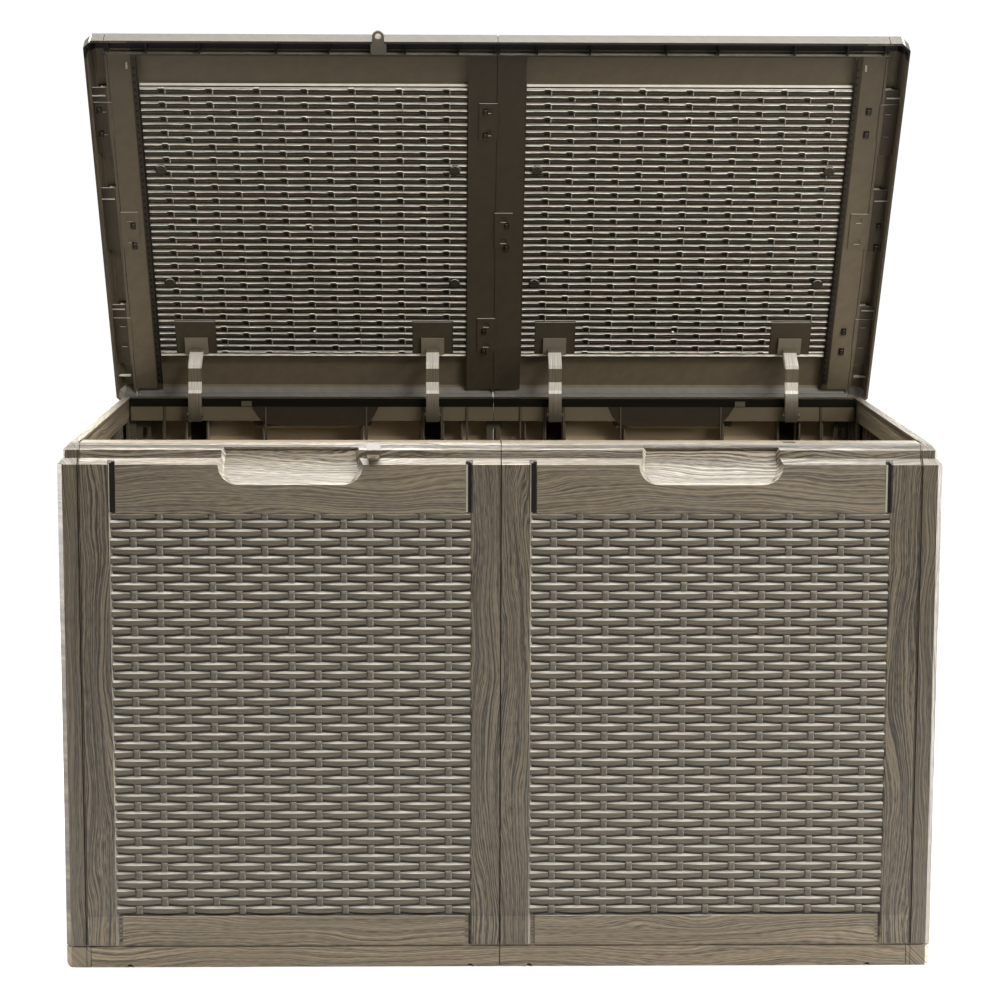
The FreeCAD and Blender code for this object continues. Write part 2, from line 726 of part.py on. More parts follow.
def joint_strip(label, place, turn):
    """A channel pushed over the flanges of two neighbouring panels."""
    top = "(rim_top - rim_drop - bracket_fit)"
    height = f"{top} - bracket_foot"
    web = block(
        f"{label}_web",
        ("-strip_hal", "post_width + bracket_fit", "bracket_foot"),
        ("2 * strip_hal", "bracket_thick", height),
    )
    reach = "(post_width - plate_thick) / 2"
    legs = []
    for name, start in (
        ("low", "-seam / 2 - skin - bracket_fit - bracket_thick"),
        ("high", "seam / 2 + skin + bracket_fit"),
    ):
        legs.append(
            block(
                f"{label}_leg_{name}",
                (start, f"post_width - {reach}", "bracket_foot"),
                ("bracket_thick", f"{reach} + bracket_fit + bracket_thick", height),
            )
        )
    slot = block(
        f"{label}_slot",
        ("-slot_width / 2", "post_width", f"{top} - {SLOT_FOOT}"),
        ("slot_width", "2 * bracket_thick", "slot_height"),
    )
    keep(carve(f"{label}_strip", join(f"{label}_channel", [web] + legs), [slot]), label, place, turn)


joint_strip("front_joint_strip", ("0", f"-{HALF_Y}", "0"), 0)
joint_strip("rear_joint_strip", ("0", HALF_Y, "0"), 180)


# Floor: two trays, two end pieces and a rail under the middle seam.


def base_tray(label, side):
    """Half of the floor: a deck on skirts and ribs, open below, with ledges for the walls."""
    inner = "(seam / 2)"
    low = inner if side > 0 else f"-{TRAY_OUTER}"
    length = f"({TRAY_OUTER} - {inner})"
    body = block(f"{label}_body", (low, f"-{HALF_Y}", "0"), (length, f"2 * {HALF_Y}", "base_height"))
    ledges = []
    for name, start in (
        ("front", f"-{HALF_Y} + ledge_inset"),
        ("rear", f"{HALF_Y} - ledge_inset - ledge_width"),
    ):
        ledges.append(
            block(
                f"{label}_ledge_{name}",
                (low, start, "base_height - overlap"),
                (length, "ledge_width", "wall_foot - base_height + overlap"),
            )
        )
    cavity_low = f"-{TRAY_OUTER} + skin" if side < 0 else f"{inner} - overlap"
    cavity = block(
        f"{label}_cavity",
        (cavity_low, f"-{HALF_Y} + skin", "-overlap"),
        (f"{length} - skin + overlap", f"2 * {HALF_Y} - 2 * skin", "base_height - skin + overlap"),
    )
    drains = []
    for name, distance in (("near", "drain_near"), ("far", "drain_far")):
        drains.append(
            rod(
                f"{label}_drain_{name}",
                (f"{side} * {distance}", f"-{HALF_Y} - overlap", "0"),
                "Y",
                "drain_radius",
                f"2 * {HALF_Y} + 2 * overlap",
            )
        )
    shell = carve(f"{label}_shell", join(f"{label}_block", [body] + ledges), [cavity] + drains)
    ribs = []
    for step in (1, 2, 3, 4):
        ribs.append(
            block(
                f"{label}_rib_{step}",
                (f"{side} * {step} * base_rib_pitch - rib_thick / 2", f"-{HALF_Y} + skin - overlap", "0"),
                ("rib_thick", f"2 * {HALF_Y} - 2 * skin + 2 * overlap", "base_height - skin + overlap"),
            )
        )
    keep(join(f"{label}_tray", [shell] + ribs), label)


def base_end(label, side):
    """End piece of the floor, rounded along its lower edge, under a side wall and two posts."""
    inner = f"{side} * ({HALF_X} - base_end_width + seam / 2)"
    outer = f"{side} * {HALF_X}"
    bend = f"{side} * ({HALF_X} - base_round)"
    section = prism(
        f"{label}_section",
        "XZ",
        [
            (inner, "0"),
            (bend, "0"),
            (outer, "base_round", "base_round", side),
            (outer, "base_height"),
            (inner, "base_height"),
        ],
        f"2 * {HALF_Y}",
        ("0", f"-{HALF_Y}", "0"),
    )
    raised = prism(
        f"{label}_raised",
        "XY",
        [
            (inner, f"-{HALF_Y} + ledge_inset"),
            (f"{outer} - {side} * post_chamfer - {side} * ledge_inset", f"-{HALF_Y} + ledge_inset"),
            (f"{outer} - {side} * ledge_inset", f"-{HALF_Y} + ledge_inset + post_chamfer"),
            (f"{outer} - {side} * ledge_inset", f"{HALF_Y} - ledge_inset - post_chamfer"),
            (f"{outer} - {side} * post_chamfer - {side} * ledge_inset", f"{HALF_Y} - ledge_inset"),
            (inner, f"{HALF_Y} - ledge_inset"),
        ],
        "wall_foot - base_height + overlap",
        ("0", "0", "base_height - overlap"),
    )
    if side > 0:
        low = f"{HALF_X} - base_end_width + seam / 2 + skin"
    else:
        low = f"-{HALF_X} + base_round + skin"
    cavity = block(
        f"{label}_cavity",
        (low, f"-{HALF_Y} + post_chamfer + skin", "-overlap"),
        (
            "base_end_width - seam / 2 - 2 * skin - base_round",
            f"2 * {HALF_Y} - 2 * post_chamfer - 2 * skin",
            "base_height - skin + overlap",
        ),
    )
    corners = []
    for name, end in (("front", -1), ("rear", 1)):
        corners.append(
            prism(
                f"{label}_cut_{name}",
                "XY",
                [
                    (f"{outer} - {side} * (post_chamfer + overlap)", f"{end} * ({HALF_Y} + overlap)"),
                    (f"{outer} + {side} * overlap", f"{end} * ({HALF_Y} - post_chamfer - overlap)"),
                    (f"{outer} + {side} * overlap", f"{end} * ({HALF_Y} + overlap)"),
                ],
                "base_height + 2 * overlap",
                ("0", "0", "-overlap"),
            )
        )
    keep(carve(f"{label}_end", join(f"{label}_block", [section, raised]), [cavity] + corners), label)


for side_name, side in (("left", -1), ("right", 1)):
    base_tray(f"base_{side_name}", side)
    base_end(f"base_end_{side_name}", side)

floor_rail = block(
    "floor_rail",
    ("-rail_width / 2", f"-{HALF_Y} + rail_setback", "0"),
    ("rail_width", f"2 * {HALF_Y} - 2 * rail_setback", "base_height - skin"),
)
keep(floor_rail, "base_joint_rail", ("-rail_width / 2", f"-{HALF_Y} + rail_setback", "0"))


# Fittings on the walls.

pins = []
for side in (-1, 1):
    for number, place in enumerate(hinge_places(side)):
        span = "(lug_width / 2 + ear_gap + ear_width)"
        pins.append(
            rod(
                f"hinge_pin_{'left' if side < 0 else 'right'}_{number}",
                (f"{place} - {span}", f"{HALF_Y} + hinge_back", "hinge_z"),
                "X",
                "pin_radius",
                f"2 * {span}",
            )
        )
keep(group("hinge_pin_set", pins), "hinge_pins")


def padlock_eye(name, place, thickness, back):
    """A flat eye at place, running back to the part that carries it."""
    x, y, z = place
    ring = rod(f"{name}_ring", place, "Z", "eye_radius", thickness)
    start = (f"{x} - eye_radius", y, z)
    neck = block(f"{name}_neck", start, ("2 * eye_radius", f"{back} - ({y})", thickness))
    hole = rod(f"{name}_hole", (x, y, f"{z} - overlap"), "Z", "eye_hole", f"{thickness} + 2 * overlap")
    return [ring, neck], hole


def lock_catch():
    eye, hole = padlock_eye(
        "catch_eye",
        ("-lock_x", f"-{HALF_Y} - lid_overhang - eye_reach", "catch_z"),
        "catch_thick",
        f"-{HALF_Y} + shoulder",
    )
    face = f"(-{HALF_Y} + shoulder)"
    crest = f"(-{HALF_Y} + shoulder + rim_edge)"
    cap = prism(
        "catch_cap",
        "YZ",
        [
            (f"{face} - 2 * catch_skin", "catch_z"),
            (face, "catch_z"),
            (face, "band_top"),
            (crest, "rim_top"),
            (f"-{HALF_Y} + catch_cap", "rim_top"),
            (f"-{HALF_Y} + catch_cap", "rim_top + catch_skin / 2"),
            (f"{crest} - catch_skin", "rim_top + catch_skin / 2"),
            (f"{face} - 2 * catch_skin", "band_top"),
        ],
        "catch_width",
        ("-lock_x - catch_width / 2", "0", "0"),
    )
    keep(carve("catch_body", join("catch_solid", eye + [cap]), [hole]), "lock_catch")


lock_catch()

plug = block("plug", ("0", "0", "0"), ("plug_width", "plug_length", "plug_thick"))
keep(plug, "rim_plug", ("plug_x - plug_width / 2", f"-{HALF_Y} + shoulder + rim_edge + overlap", "rim_top"))


# Lid, drawn closed about the hinge axis: x is the chest's own, y and z run from the axis.


def lid_outline(inset, foot):
    """Section of the lid across its depth, or with inset its hollow."""
    slope = f"(lid_chamfer - {MITRE} * {inset})"
    front = f"({LID_FRONT} + {inset})"
    rear = f"({LID_REAR} - {inset})"
    top = f"({LID_TOP} - {inset})"
    return [
        (front, foot),
        (rear, foot),
        (rear, f"{top} - {slope}"),
        (f"{rear} - {slope}", top),
        (f"{front} + {slope}", top),
        (front, f"{top} - {slope}"),
    ]


def under_lid(name, low, length):
    """Space between the skirts, below the stiles, where the rim comes when the lid is closed."""
    return block(
        name,
        (low, f"{LID_FRONT} + skin", f"{LID_FOOT} - overlap"),
        (length, f"{LID_REAR} - {LID_FRONT} - 2 * skin", f"{STILE_FACE} - {LID_FOOT} + overlap"),
    )


def lid_ear(name, low):
    """One lid knuckle from x = low, with its web up the rear skirt."""
    barrel = rod(f"{name}_barrel", (low, "0", "0"), "X", "knuckle_radius", "ear_width")
    web = prism(
        f"{name}_web",
        "YZ",
        [
            (f"{LID_REAR} - overlap", "0"),
            ("0", "-knuckle_radius / 2"),
            ("knuckle_radius * cos(30)", "knuckle_radius / 2"),
            (LID_REAR, f"{LID_TOP} - lid_chamfer - overlap"),
            (f"{LID_REAR} - overlap", f"{LID_TOP} - lid_chamfer - overlap"),
        ],
        "ear_width",
        (low, "0", "0"),
    )
    return [barrel, web]


def channel_rib(name, low):
    """Rib across the front channel from x = low, rooted in the skirt, the lid's slope and the inner wall."""
    inset = "(skin - overlap)"
    slope = f"(lid_chamfer - {MITRE} * {inset})"
    face = f"({FRAME_FACE} + frame_clear)"
    return prism(
        name,
        "YZ",
        [
            (f"{LID_FRONT} + {inset}", f"{face} - lid_chamfer"),
            (f"{LID_FRONT} + frame_inset + overlap", face),
            (f"{LID_FRONT} + frame_inset + overlap", f"{LID_TOP} - {inset}"),
            (f"{LID_FRONT} + {inset} + {slope}", f"{LID_TOP} - {inset}"),
            (f"{LID_FRONT} + {inset}", f"{LID_TOP} - {inset} - {slope}"),
        ],
        "rib_thick",
        (low, "0", "0"),
    )


def seam_tongue(name, low, length, room):
    """The tongue in the lid's middle seam, or with room its groove."""
    return block(
        name,
        (low, f"{LID_FRONT} + skin", f"{STILE_FACE} + tongue_rise - {room}"),
        (length, f"{LID_REAR} - {LID_FRONT} - 2 * skin", f"tongue_thick + 2 * {room}"),
    )


def strand_rows(label, middle):
    """The weave's strands on the floor of the sunk field, as plain bars."""
    inner = f"({LID_WEAVE_HALF} - skin)"
    return rows(
        f"{label}_strands",
        [
            ("strand_gap", "-overlap"),
            (f"{LID_ROW} - strand_gap", "-overlap"),
            (f"{LID_ROW} - strand_gap", "0"),
            (f"{LID_ROW} - strand_gap - strand_bevel", "strand_rise"),
            ("strand_gap + strand_bevel", "strand_rise"),
            ("strand_gap", "0"),
        ],
        f"2 * {inner}",
        (f"{middle} - {inner}", LID_ROWS_FRONT, LID_FLOOR),
        LID_ROW,
        "lid_rows",
    )


def ridge_rows(label, middle, arms):
    """Thin ridges between the strands, seen from below; they stop at the pads that carry the arms."""
    ridges = rows(
        f"{label}_ridges",
        [
            ("-ridge_half", "overlap"),
            ("-ridge_half", "0"),
            ("-ridge_tip", "-ridge_rise"),
            ("ridge_tip", "-ridge_rise"),
            ("ridge_half", "0"),
            ("ridge_half", "overlap"),
        ],
        "lid_weave_width",
        (f"{middle} - {LID_WEAVE_HALF}", LID_ROWS_FRONT, FIELD_FACE),
        LID_ROW,
        "lid_rows + 1",
    )
    bays = []
    for number, arm in enumerate(arms):
        bays.append(
            block(
                f"{label}_ridge_bay_{number}",
                (
                    f"{arm} - pad_width / 2 - overlap",
                    "-stay_reach + stay_thick / 2 - pad_length - overlap",
                    f"{FIELD_FACE} - ridge_rise - overlap",
                ),
                ("pad_width + 2 * overlap", "pad_length + 2 * overlap", "ridge_rise + overlap"),
            )
        )
    return carve(f"{label}_ridge_set", ridges, bays)


def lid_panel(label, side):
    """Half of the lid: a skirted tray with a sunk woven field, stiles, a front channel and hinge ears."""
    middle = f"({side} * {LID_MIDDLE})"
    half = f"({LID_MIDDLE} - seam / 2)"
    low = f"({middle} - {half})"
    shell = carve(
        f"{label}_shell",
        prism(f"{label}_outside", "YZ", lid_outline("0", LID_FOOT), f"2 * {half}", (low, "0", "0")),
        [
            prism(
                f"{label}_inside",
                "YZ",
                lid_outline("skin", f"{LID_FOOT} - overlap"),
                f"2 * {half} - 2 * lid_web",
                (f"{low} + lid_web", "0", "0"),
            ),
            under_lid(f"{label}_clear", f"{low} - overlap", f"2 * {half} + 2 * overlap"),
        ],
    )
    field_front = f"({LID_FRONT} + lid_weave_front)"
    field_rear = f"({LID_REAR} - lid_weave_rear)"
    above = f"({LID_CEILING} + overlap)"
    solid = [shell]
    solid.append(
        prism(
            f"{label}_field_floor",
            "YZ",
            [
                (field_front, FIELD_FACE),
                (field_rear, FIELD_FACE),
                (f"{field_rear} + lid_weave_slope", LID_CEILING),
                (f"{field_rear} + lid_weave_slope", above),
                (f"{field_front} - lid_weave_slope", above),
                (f"{field_front} - lid_weave_slope", LID_CEILING),
            ],
            "lid_weave_width",
            (f"{middle} - {LID_WEAVE_HALF}", "0", "0"),
        )
    )
    solid.append(
        block(
            f"{label}_frame",
            (f"{low} + overlap", f"{LID_FRONT} + frame_inset", FRAME_FACE),
            (f"2 * {half} - 2 * overlap", "frame_thick", f"{above} - {FRAME_FACE}"),
        )
    )
    stile_front = f"({LID_FRONT} + frame_inset + overlap)"
    stile_rear = f"({LID_REAR} - stile_end)"
    for name, start in (("low", f"{low} + overlap"), ("high", f"{middle} + {half} - stile_width")):
        solid.append(
            block(
                f"{label}_stile_{name}",
                (start, stile_front, STILE_FACE),
                ("stile_width - overlap", f"{stile_rear} - {stile_front}", f"{above} - {STILE_FACE}"),
            )
        )
    number = 0
    for offset in ("lid_rib_first", "lid_rib_second", "lid_rib_third"):
        for sign in (-1, 1):
            number += 1
            start = f"{middle} + {sign} * {offset} - rib_thick / 2"
            solid.append(channel_rib(f"{label}_channel_rib_{number}", start))
    for number, arm in enumerate(arm_places(side)):
        solid.append(
            block(
                f"{label}_pad_{number}",
                (f"{arm} - pad_width / 2", "-stay_reach + stay_thick / 2 - pad_length", PAD_FACE),
                ("pad_width", "pad_length", "pad_thick + overlap"),
            )
        )
    hollow = [
        prism(
            f"{label}_field",
            "XY",
            [
                (f"{middle} - {LID_WEAVE_HALF} + skin", f"{field_front} + skin"),
                (f"{middle} + {LID_WEAVE_HALF} - skin", f"{field_front} + skin"),
                (f"{middle} + {LID_WEAVE_HALF} - skin", f"{field_rear} - skin"),
                (f"{middle} - {LID_WEAVE_HALF} + skin", f"{field_rear} - skin"),
            ],
            "lid_recess + overlap",
            ("0", "0", f"{LID_TOP} - lid_recess"),
            taper="weave_bevel_angle",
        )
    ]
    for number, hinge in enumerate(hinge_places(side)):
        for name, start in (
            ("low", f"{hinge} - lug_width / 2 - ear_gap - ear_width"),
            ("high", f"{hinge} + lug_width / 2 + ear_gap"),
        ):
            solid += lid_ear(f"{label}_ear_{number}_{name}", start)
        hollow.append(
            rod(
                f"{label}_bore_{number}",
                (f"{hinge} - lug_width - ear_width", "0", "0"),
                "X",
                "pin_radius + pin_clear",
                "2 * lug_width + 2 * ear_width",
            )
        )
    if side < 0:
        start = "-seam / 2 - overlap"
        solid.append(seam_tongue(f"{label}_tongue", start, "overlap + seam + tongue_reach", "0"))
    else:
        reach = "overlap + tongue_reach + tongue_fit"
        hollow.append(seam_tongue(f"{label}_groove", "seam / 2 - overlap", reach, "tongue_fit"))
    if side < 0:
        hollow.append(
            block(
                f"{label}_eye_notch",
                ("-lock_x - eye_radius - bracket_fit", f"{LID_FRONT} - overlap", f"{LID_FOOT} - overlap"),
                (
                    "2 * eye_radius + 2 * bracket_fit",
                    "eye_post + 2 * bracket_fit",
                    "lid_height - lid_chamfer + overlap",
                ),
            )
        )
    tray = carve(f"{label}_tray", join(f"{label}_solid", solid), hollow)
    weave = [strand_rows(label, middle), ridge_rows(label, middle, arm_places(side))]
    keep_on_lid(join(f"{label}_moulding", [tray] + weave), label)


def cap_block(name, side, inset, foot):
    """Outside of an end cap, or with inset its hollow: cut corners in plan and a sloped top edge."""
    slope = f"(lid_chamfer - {MITRE} * {inset})"
    corner = f"(lid_corner - {MITRE} * {inset})"
    corner_rear = f"(lid_corner_rear - {MITRE} * {inset})"
    inner = f"{side} * ({LID_INNER} + seam / 2 + {inset})"
    outer = f"{side} * ({LID_OUTER} - {inset})"
    front = f"({LID_FRONT} + {inset})"
    rear = f"({LID_REAR} - {inset})"
    body = prism(
        name,
        "XY",
        [
            (inner, front),
            (f"{outer} - {side} * {corner}", front),
            (outer, f"{front} + {corner}"),
            (outer, f"{rear} - {corner_rear}"),
            (f"{outer} - {side} * {corner_rear}", rear),
            (inner, rear),
        ],
        f"{LID_TOP} - {inset} - ({foot})",
        ("0", "0", foot),
    )
    doc.recompute()
    top = max(vertex.Z for vertex in body.Tip.Shape.Vertexes)
    inner_x = value(inner)
    edges = []
    for number, edge in enumerate(body.Tip.Shape.Edges, start=1):
        middle = edge.BoundBox.Center
        if edge.BoundBox.ZMin > top - 1e-6 and abs(middle.x - inner_x) > 1e-6:
            edges.append(f"Edge{number}")
    chamfer = body.newObject("PartDesign::Chamfer", f"{name}_slope")
    chamfer.Base = (body.Group[-2], edges)
    bind(chamfer, "Size", slope)
    return body


def lid_end(label, side):
    """End cap of the lid, hollow below, with three plates that the snaps grip."""
    outside = cap_block(f"{label}_outside", side, "0", LID_FOOT)
    inside = cap_block(f"{label}_inside", side, "skin", f"{LID_FOOT} - overlap")
    clear_low = f"{LID_INNER} - overlap" if side > 0 else f"-{LID_INNER} - skin - overlap"
    clear = under_lid(f"{label}_clear", clear_low, "skin + 2 * overlap")
    solid = [carve(f"{label}_shell", outside, [inside, clear])]
    low = f"{LID_INNER} + seam / 2 + overlap" if side > 0 else f"-{LID_OUTER} + skin - overlap"
    if side > 0:
        web_low = f"{LID_INNER} + seam / 2 + overlap"
    else:
        web_low = f"-{LID_INNER} - seam / 2 - overlap - lid_chamfer"
    for name in ("front", "middle", "rear"):
        start = f"{LID_FRONT} + cap_plate_{name}"
        solid.append(
            block(
                f"{label}_plate_{name}",
                (low, start, STILE_FACE),
                (
                    "lid_end_width - seam / 2 - skin",
                    "cap_plate_long",
                    f"{LID_TOP} - lid_chamfer + overlap - {STILE_FACE}",
                ),
            )
        )
        solid.append(
            block(
                f"{label}_web_{name}",
                (web_low, start, STILE_FACE),
                ("lid_chamfer", "cap_plate_long", f"{LID_CEILING} + overlap - {STILE_FACE}"),
            )
        )
    keep_on_lid(join(f"{label}_cap", solid), label)


def stay_arm(label, place):
    """A hooked arm rigid with the lid; its hook is an arc about the hinge axis."""
    half = "stay_thick / 2"
    outer = f"(stay_radius + {half})"
    inner = f"(stay_radius - {half})"
    fall = "(stay_radius * sin(stay_start_angle) - stay_drop)"
    run = "(stay_reach - stay_radius * cos(stay_start_angle))"
    mitre = f"{half} * tan((90 deg - atan({fall} / {run})) / 2)"
    arm = prism(
        f"{label}_side",
        "YZ",
        [
            (f"-stay_reach - {half}", PAD_FACE),
            (f"-stay_reach - {half}", f"-stay_drop - {mitre}"),
            (f"-{outer} * cos(stay_start_angle)", f"-{outer} * sin(stay_start_angle)"),
            (f"-{outer} * cos(stay_finish_angle)", f"-{outer} * sin(stay_finish_angle)", outer, 1),
            (f"-{inner} * cos(stay_finish_angle)", f"-{inner} * sin(stay_finish_angle)"),
            (f"-{inner} * cos(stay_start_angle)", f"-{inner} * sin(stay_start_angle)", inner, -1),
            (f"-stay_reach + {half}", f"-stay_drop + {mitre}"),
            (f"-stay_reach + {half}", PAD_FACE),
        ],
        "stay_width",
        (f"{place} - stay_width / 2", "0", "0"),
    )
    hole = rod(
        f"{label}_hole",
        (
            f"{place} - stay_width",
            "-stay_radius * cos(stay_pin_angle)",
            "-stay_radius * sin(stay_pin_angle)",
        ),
        "X",
        "stay_pin_radius + pin_clear",
        "2 * stay_width",
    )
    keep_on_lid(carve(f"{label}_arm", arm, [hole]), label)


def stay_clip(label, place):
    """T-shaped clip that holds an arm's root to its pad."""
    gap = "bracket_fit"
    head = block(
        f"{label}_head",
        (
            f"{place} - clip_width / 2",
            f"-stay_reach - stay_thick / 2 - {gap} - clip_length",
            f"{PAD_FACE} - clip_thick",
        ),
        ("clip_width", "clip_length", "clip_thick"),
    )
    cheeks = []
    for name, start in (
        ("low", f"{place} - clip_width / 2"),
        ("high", f"{place} + stay_width / 2 + {gap}"),
    ):
        cheeks.append(
            block(
                f"{label}_cheek_{name}",
                (start, f"-stay_reach - stay_thick / 2 - {gap} - overlap", f"{PAD_FACE} - clip_thick"),
                ("(clip_width - stay_width) / 2 - bracket_fit", "stay_thick + overlap", "clip_thick"),
            )
        )
    keep_on_lid(join(f"{label}_clip", [head] + cheeks), label)


def snap_plate(name, middle, distance):
    """A thin plate with two square windows, under a seam of the lid."""
    centre = f"({LID_FRONT} + {distance})"
    plate = block(
        f"{name}_plate",
        (f"{middle} - snap_width / 2", f"{centre} - snap_length / 2", f"{STILE_FACE} - snap_thick"),
        ("snap_width", "snap_length", "snap_thick"),
    )
    windows = []
    for sign in (-1, 1):
        windows.append(
            block(
                f"{name}_window_{'front' if sign < 0 else 'rear'}",
                (
                    f"{middle} - snap_window / 2",
                    f"{centre} + {sign} * snap_pitch / 2 - snap_window / 2",
                    f"{STILE_FACE} - snap_thick - overlap",
                ),
                ("snap_window", "snap_window", "snap_thick + 2 * overlap"),
            )
        )
    return carve(name, plate, windows)


def lid_lock_eye():
    """Padlock eye on the lid's front edge, with its block in the channel."""
    eye_z = "(catch_z + catch_thick + eye_gap - hinge_z)"
    skirt_back = f"({LID_FRONT} + skin + overlap)"
    place = ("-lock_x", f"{LID_FRONT} - eye_reach", eye_z)
    eye, hole = padlock_eye("lid_eye", place, "eye_thick", skirt_back)
    upright = block(
        "lid_eye_upright",
        ("-lock_x - eye_radius", f"{LID_FRONT} - overlap", eye_z),
        ("2 * eye_radius", "eye_post", f"{LID_TOP} - lid_chamfer - bracket_fit - {eye_z}"),
    )
    inset = "(skin + bracket_fit)"
    slope = f"(lid_chamfer - {MITRE} * {inset})"
    body = prism(
        "lid_eye_body",
        "YZ",
        [
            (f"{LID_FRONT} + {inset}", FRAME_FACE),
            (f"{LID_FRONT} + frame_inset - bracket_fit", FRAME_FACE),
            (f"{LID_FRONT} + frame_inset - bracket_fit", f"{LID_TOP} - {inset}"),
            (f"{LID_FRONT} + {inset} + {slope}", f"{LID_TOP} - {inset}"),
            (f"{LID_FRONT} + {inset}", f"{LID_TOP} - {inset} - {slope}"),
        ],
        "eye_block",
        ("-lock_x - eye_block / 2", "0", "0"),
    )
    solid = join("lid_eye_solid", eye + [upright, body])
    keep_on_lid(carve("lid_eye_moulding", solid, [hole]), "lid_lock_eye")


for side_name, side in (("left", -1), ("right", 1)):
    lid_panel(f"lid_panel_{side_name}", side)
    lid_end(f"lid_end_{side_name}", side)
    for number, place in enumerate(arm_places(side)):
        name = ("inner", "outer")[number]
        stay_arm(f"stay_arm_{side_name}_{name}", place)
        stay_clip(f"stay_clip_{side_name}_{name}", place)

snap_distances = ("snap_front", "snap_middle", "snap_rear")
joint_snaps = []
end_snaps = []
for number, distance in enumerate(snap_distances):
    sign = (-1, 1, -1)[number]
    joint_snaps.append(snap_plate(f"joint_snap_{number}", f"{sign} * snap_shift", distance))
    for side in (-1, 1):
        name = f"end_snap_{'left' if side < 0 else 'right'}_{number}"
        end_snaps.append(snap_plate(name, f"{side} * {LID_INNER} - {side} * {sign} * snap_shift", distance))
keep_on_lid(group("joint_snap_set", joint_snaps), "lid_joint_snaps")
keep_on_lid(group("end_snap_set", end_snaps), "lid_end_snaps")

stops = []
for side in (-1, 1):
    for number, place in enumerate(arm_places(side)):
        stops.append(
            rod(
                f"stay_pin_{'left' if side < 0 else 'right'}_{number}",
                (
                    f"{place} - stay_width / 2 - stay_pin_side",
                    "-stay_radius * cos(stay_pin_angle)",
                    "-stay_radius * sin(stay_pin_angle)",
                ),
                "X",
                "stay_pin_radius",
                "stay_width + 2 * stay_pin_side",
            )
        )
keep_on_lid(group("stay_pin_set", stops), "stay_pins")

lid_lock_eye()

doc.recompute()
faults = []
for thing in doc.Objects:
    if "Invalid" in thing.State or "Error" in thing.State:
        faults.append(f"{thing.Label}: {thing.State}")
for thing in PARTS:
    if thing.Shape.isNull() or not thing.Shape.isValid() or not thing.Shape.Solids:
        faults.append(f"{thing.Label}: shape is not valid")
if faults:
    raise RuntimeError("; ".join(faults))
for thing in PARTS:
    thing.Shape.exportStep(f"parts/{thing.Label}.step")
    print(thing.Label, len(thing.Shape.Solids), round(thing.Shape.Volume / 1000, 1), "cm3")
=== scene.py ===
import math
import random

import bmesh
import bpy
from mathutils import Matrix, Vector


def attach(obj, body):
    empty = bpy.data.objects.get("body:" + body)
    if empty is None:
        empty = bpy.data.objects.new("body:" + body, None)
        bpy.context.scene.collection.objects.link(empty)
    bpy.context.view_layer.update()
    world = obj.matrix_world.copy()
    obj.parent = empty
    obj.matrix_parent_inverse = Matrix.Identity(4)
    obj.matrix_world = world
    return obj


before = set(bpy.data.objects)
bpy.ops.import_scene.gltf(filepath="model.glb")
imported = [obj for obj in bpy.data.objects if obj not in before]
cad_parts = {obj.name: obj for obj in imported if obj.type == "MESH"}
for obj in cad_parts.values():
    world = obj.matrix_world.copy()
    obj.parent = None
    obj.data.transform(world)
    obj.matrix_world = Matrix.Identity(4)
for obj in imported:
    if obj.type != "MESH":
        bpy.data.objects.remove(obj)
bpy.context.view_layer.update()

# Looks of the storage chest, in metres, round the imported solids.

random.seed(7)
MM = 0.001
ROOT = "root"
LID = "lid"
SIDE_NAMES = {-1: "left", 1: "right"}
RIGHT = (1, 0, 0)
LEFT = (-1, 0, 0)
UP = (0, 0, 1)
FORWARD = (0, -1, 0)

# Walls, in millimetres. A pair of sizes is where a zone starts and ends.
HALF_X = 600
HALF_Y = 315
BAY = 285
POST_SEAM = 572
SEAM = 0.8
SEAM_FOOT = 32
WEAVE_HALF = 245.5
WEAVE_LOW = 72
WEAVE_HIGH = 637
WEAVE_DEPTH = 4
FIELD_HALF = WEAVE_HALF - 4
CHANNEL = (237.5, 247)
CHANNEL_FLOOR = -2.4
CHANNEL_DARK = -1.2
CHANNEL_EDGE = -0.4
CHANNEL_SHADE_TOP = 709
SHOULDER_Z = 703
SHOULDER = 10
BAND = (712, 722)
RIM_TOP = 731
RIM_EDGE = 9
RIM_BACK = 45
RIM_GROOVE = (724.3, 728.2)
LIP_FACE = -296
LIP = (718.5, 724.8)
SCOOP_FACE = -313
SCOOP_FOOT = 674
SCOOP_HALF = 92

# Inner face of the rear wall, in millimetres.
INNER_START = 200
REAR_FACE = 305
RIM_FACE = 269
RIM_SHADOW = 718
FLANGE_FOOT = 696
RIB_FOOT = 664
RIB_PLACES = (42, 81.5, 110.5, 200, 358, 516)
RIB_HALF = 0.9
RIB_RISE = 2.4
RIB_SHADOW_HALF = 1.7
RIB_SHADOW_RISE = 1.4
HINGE_TAB = 388
TAB_HALF = 8
TAB_HEIGHTS = (719, 727)
TAB_RISE = 1.6
# Outline of the dark plate of painted shade over the back of the scoop.
BULGE_LEFT = [(181, RIM_SHADOW), (188, 704), (196, 693), (209, 688)]
BULGE_RIGHT = [(346, 688), (360, 693), (370, 704), (379, RIM_SHADOW)]
BULGE_RISE = 1.2
ARM_SHADOW_HALF = 12
ARM_SHADOW_FOOT = 640
ARM_SHADOW_DEPTHS = (-42.3, -38)

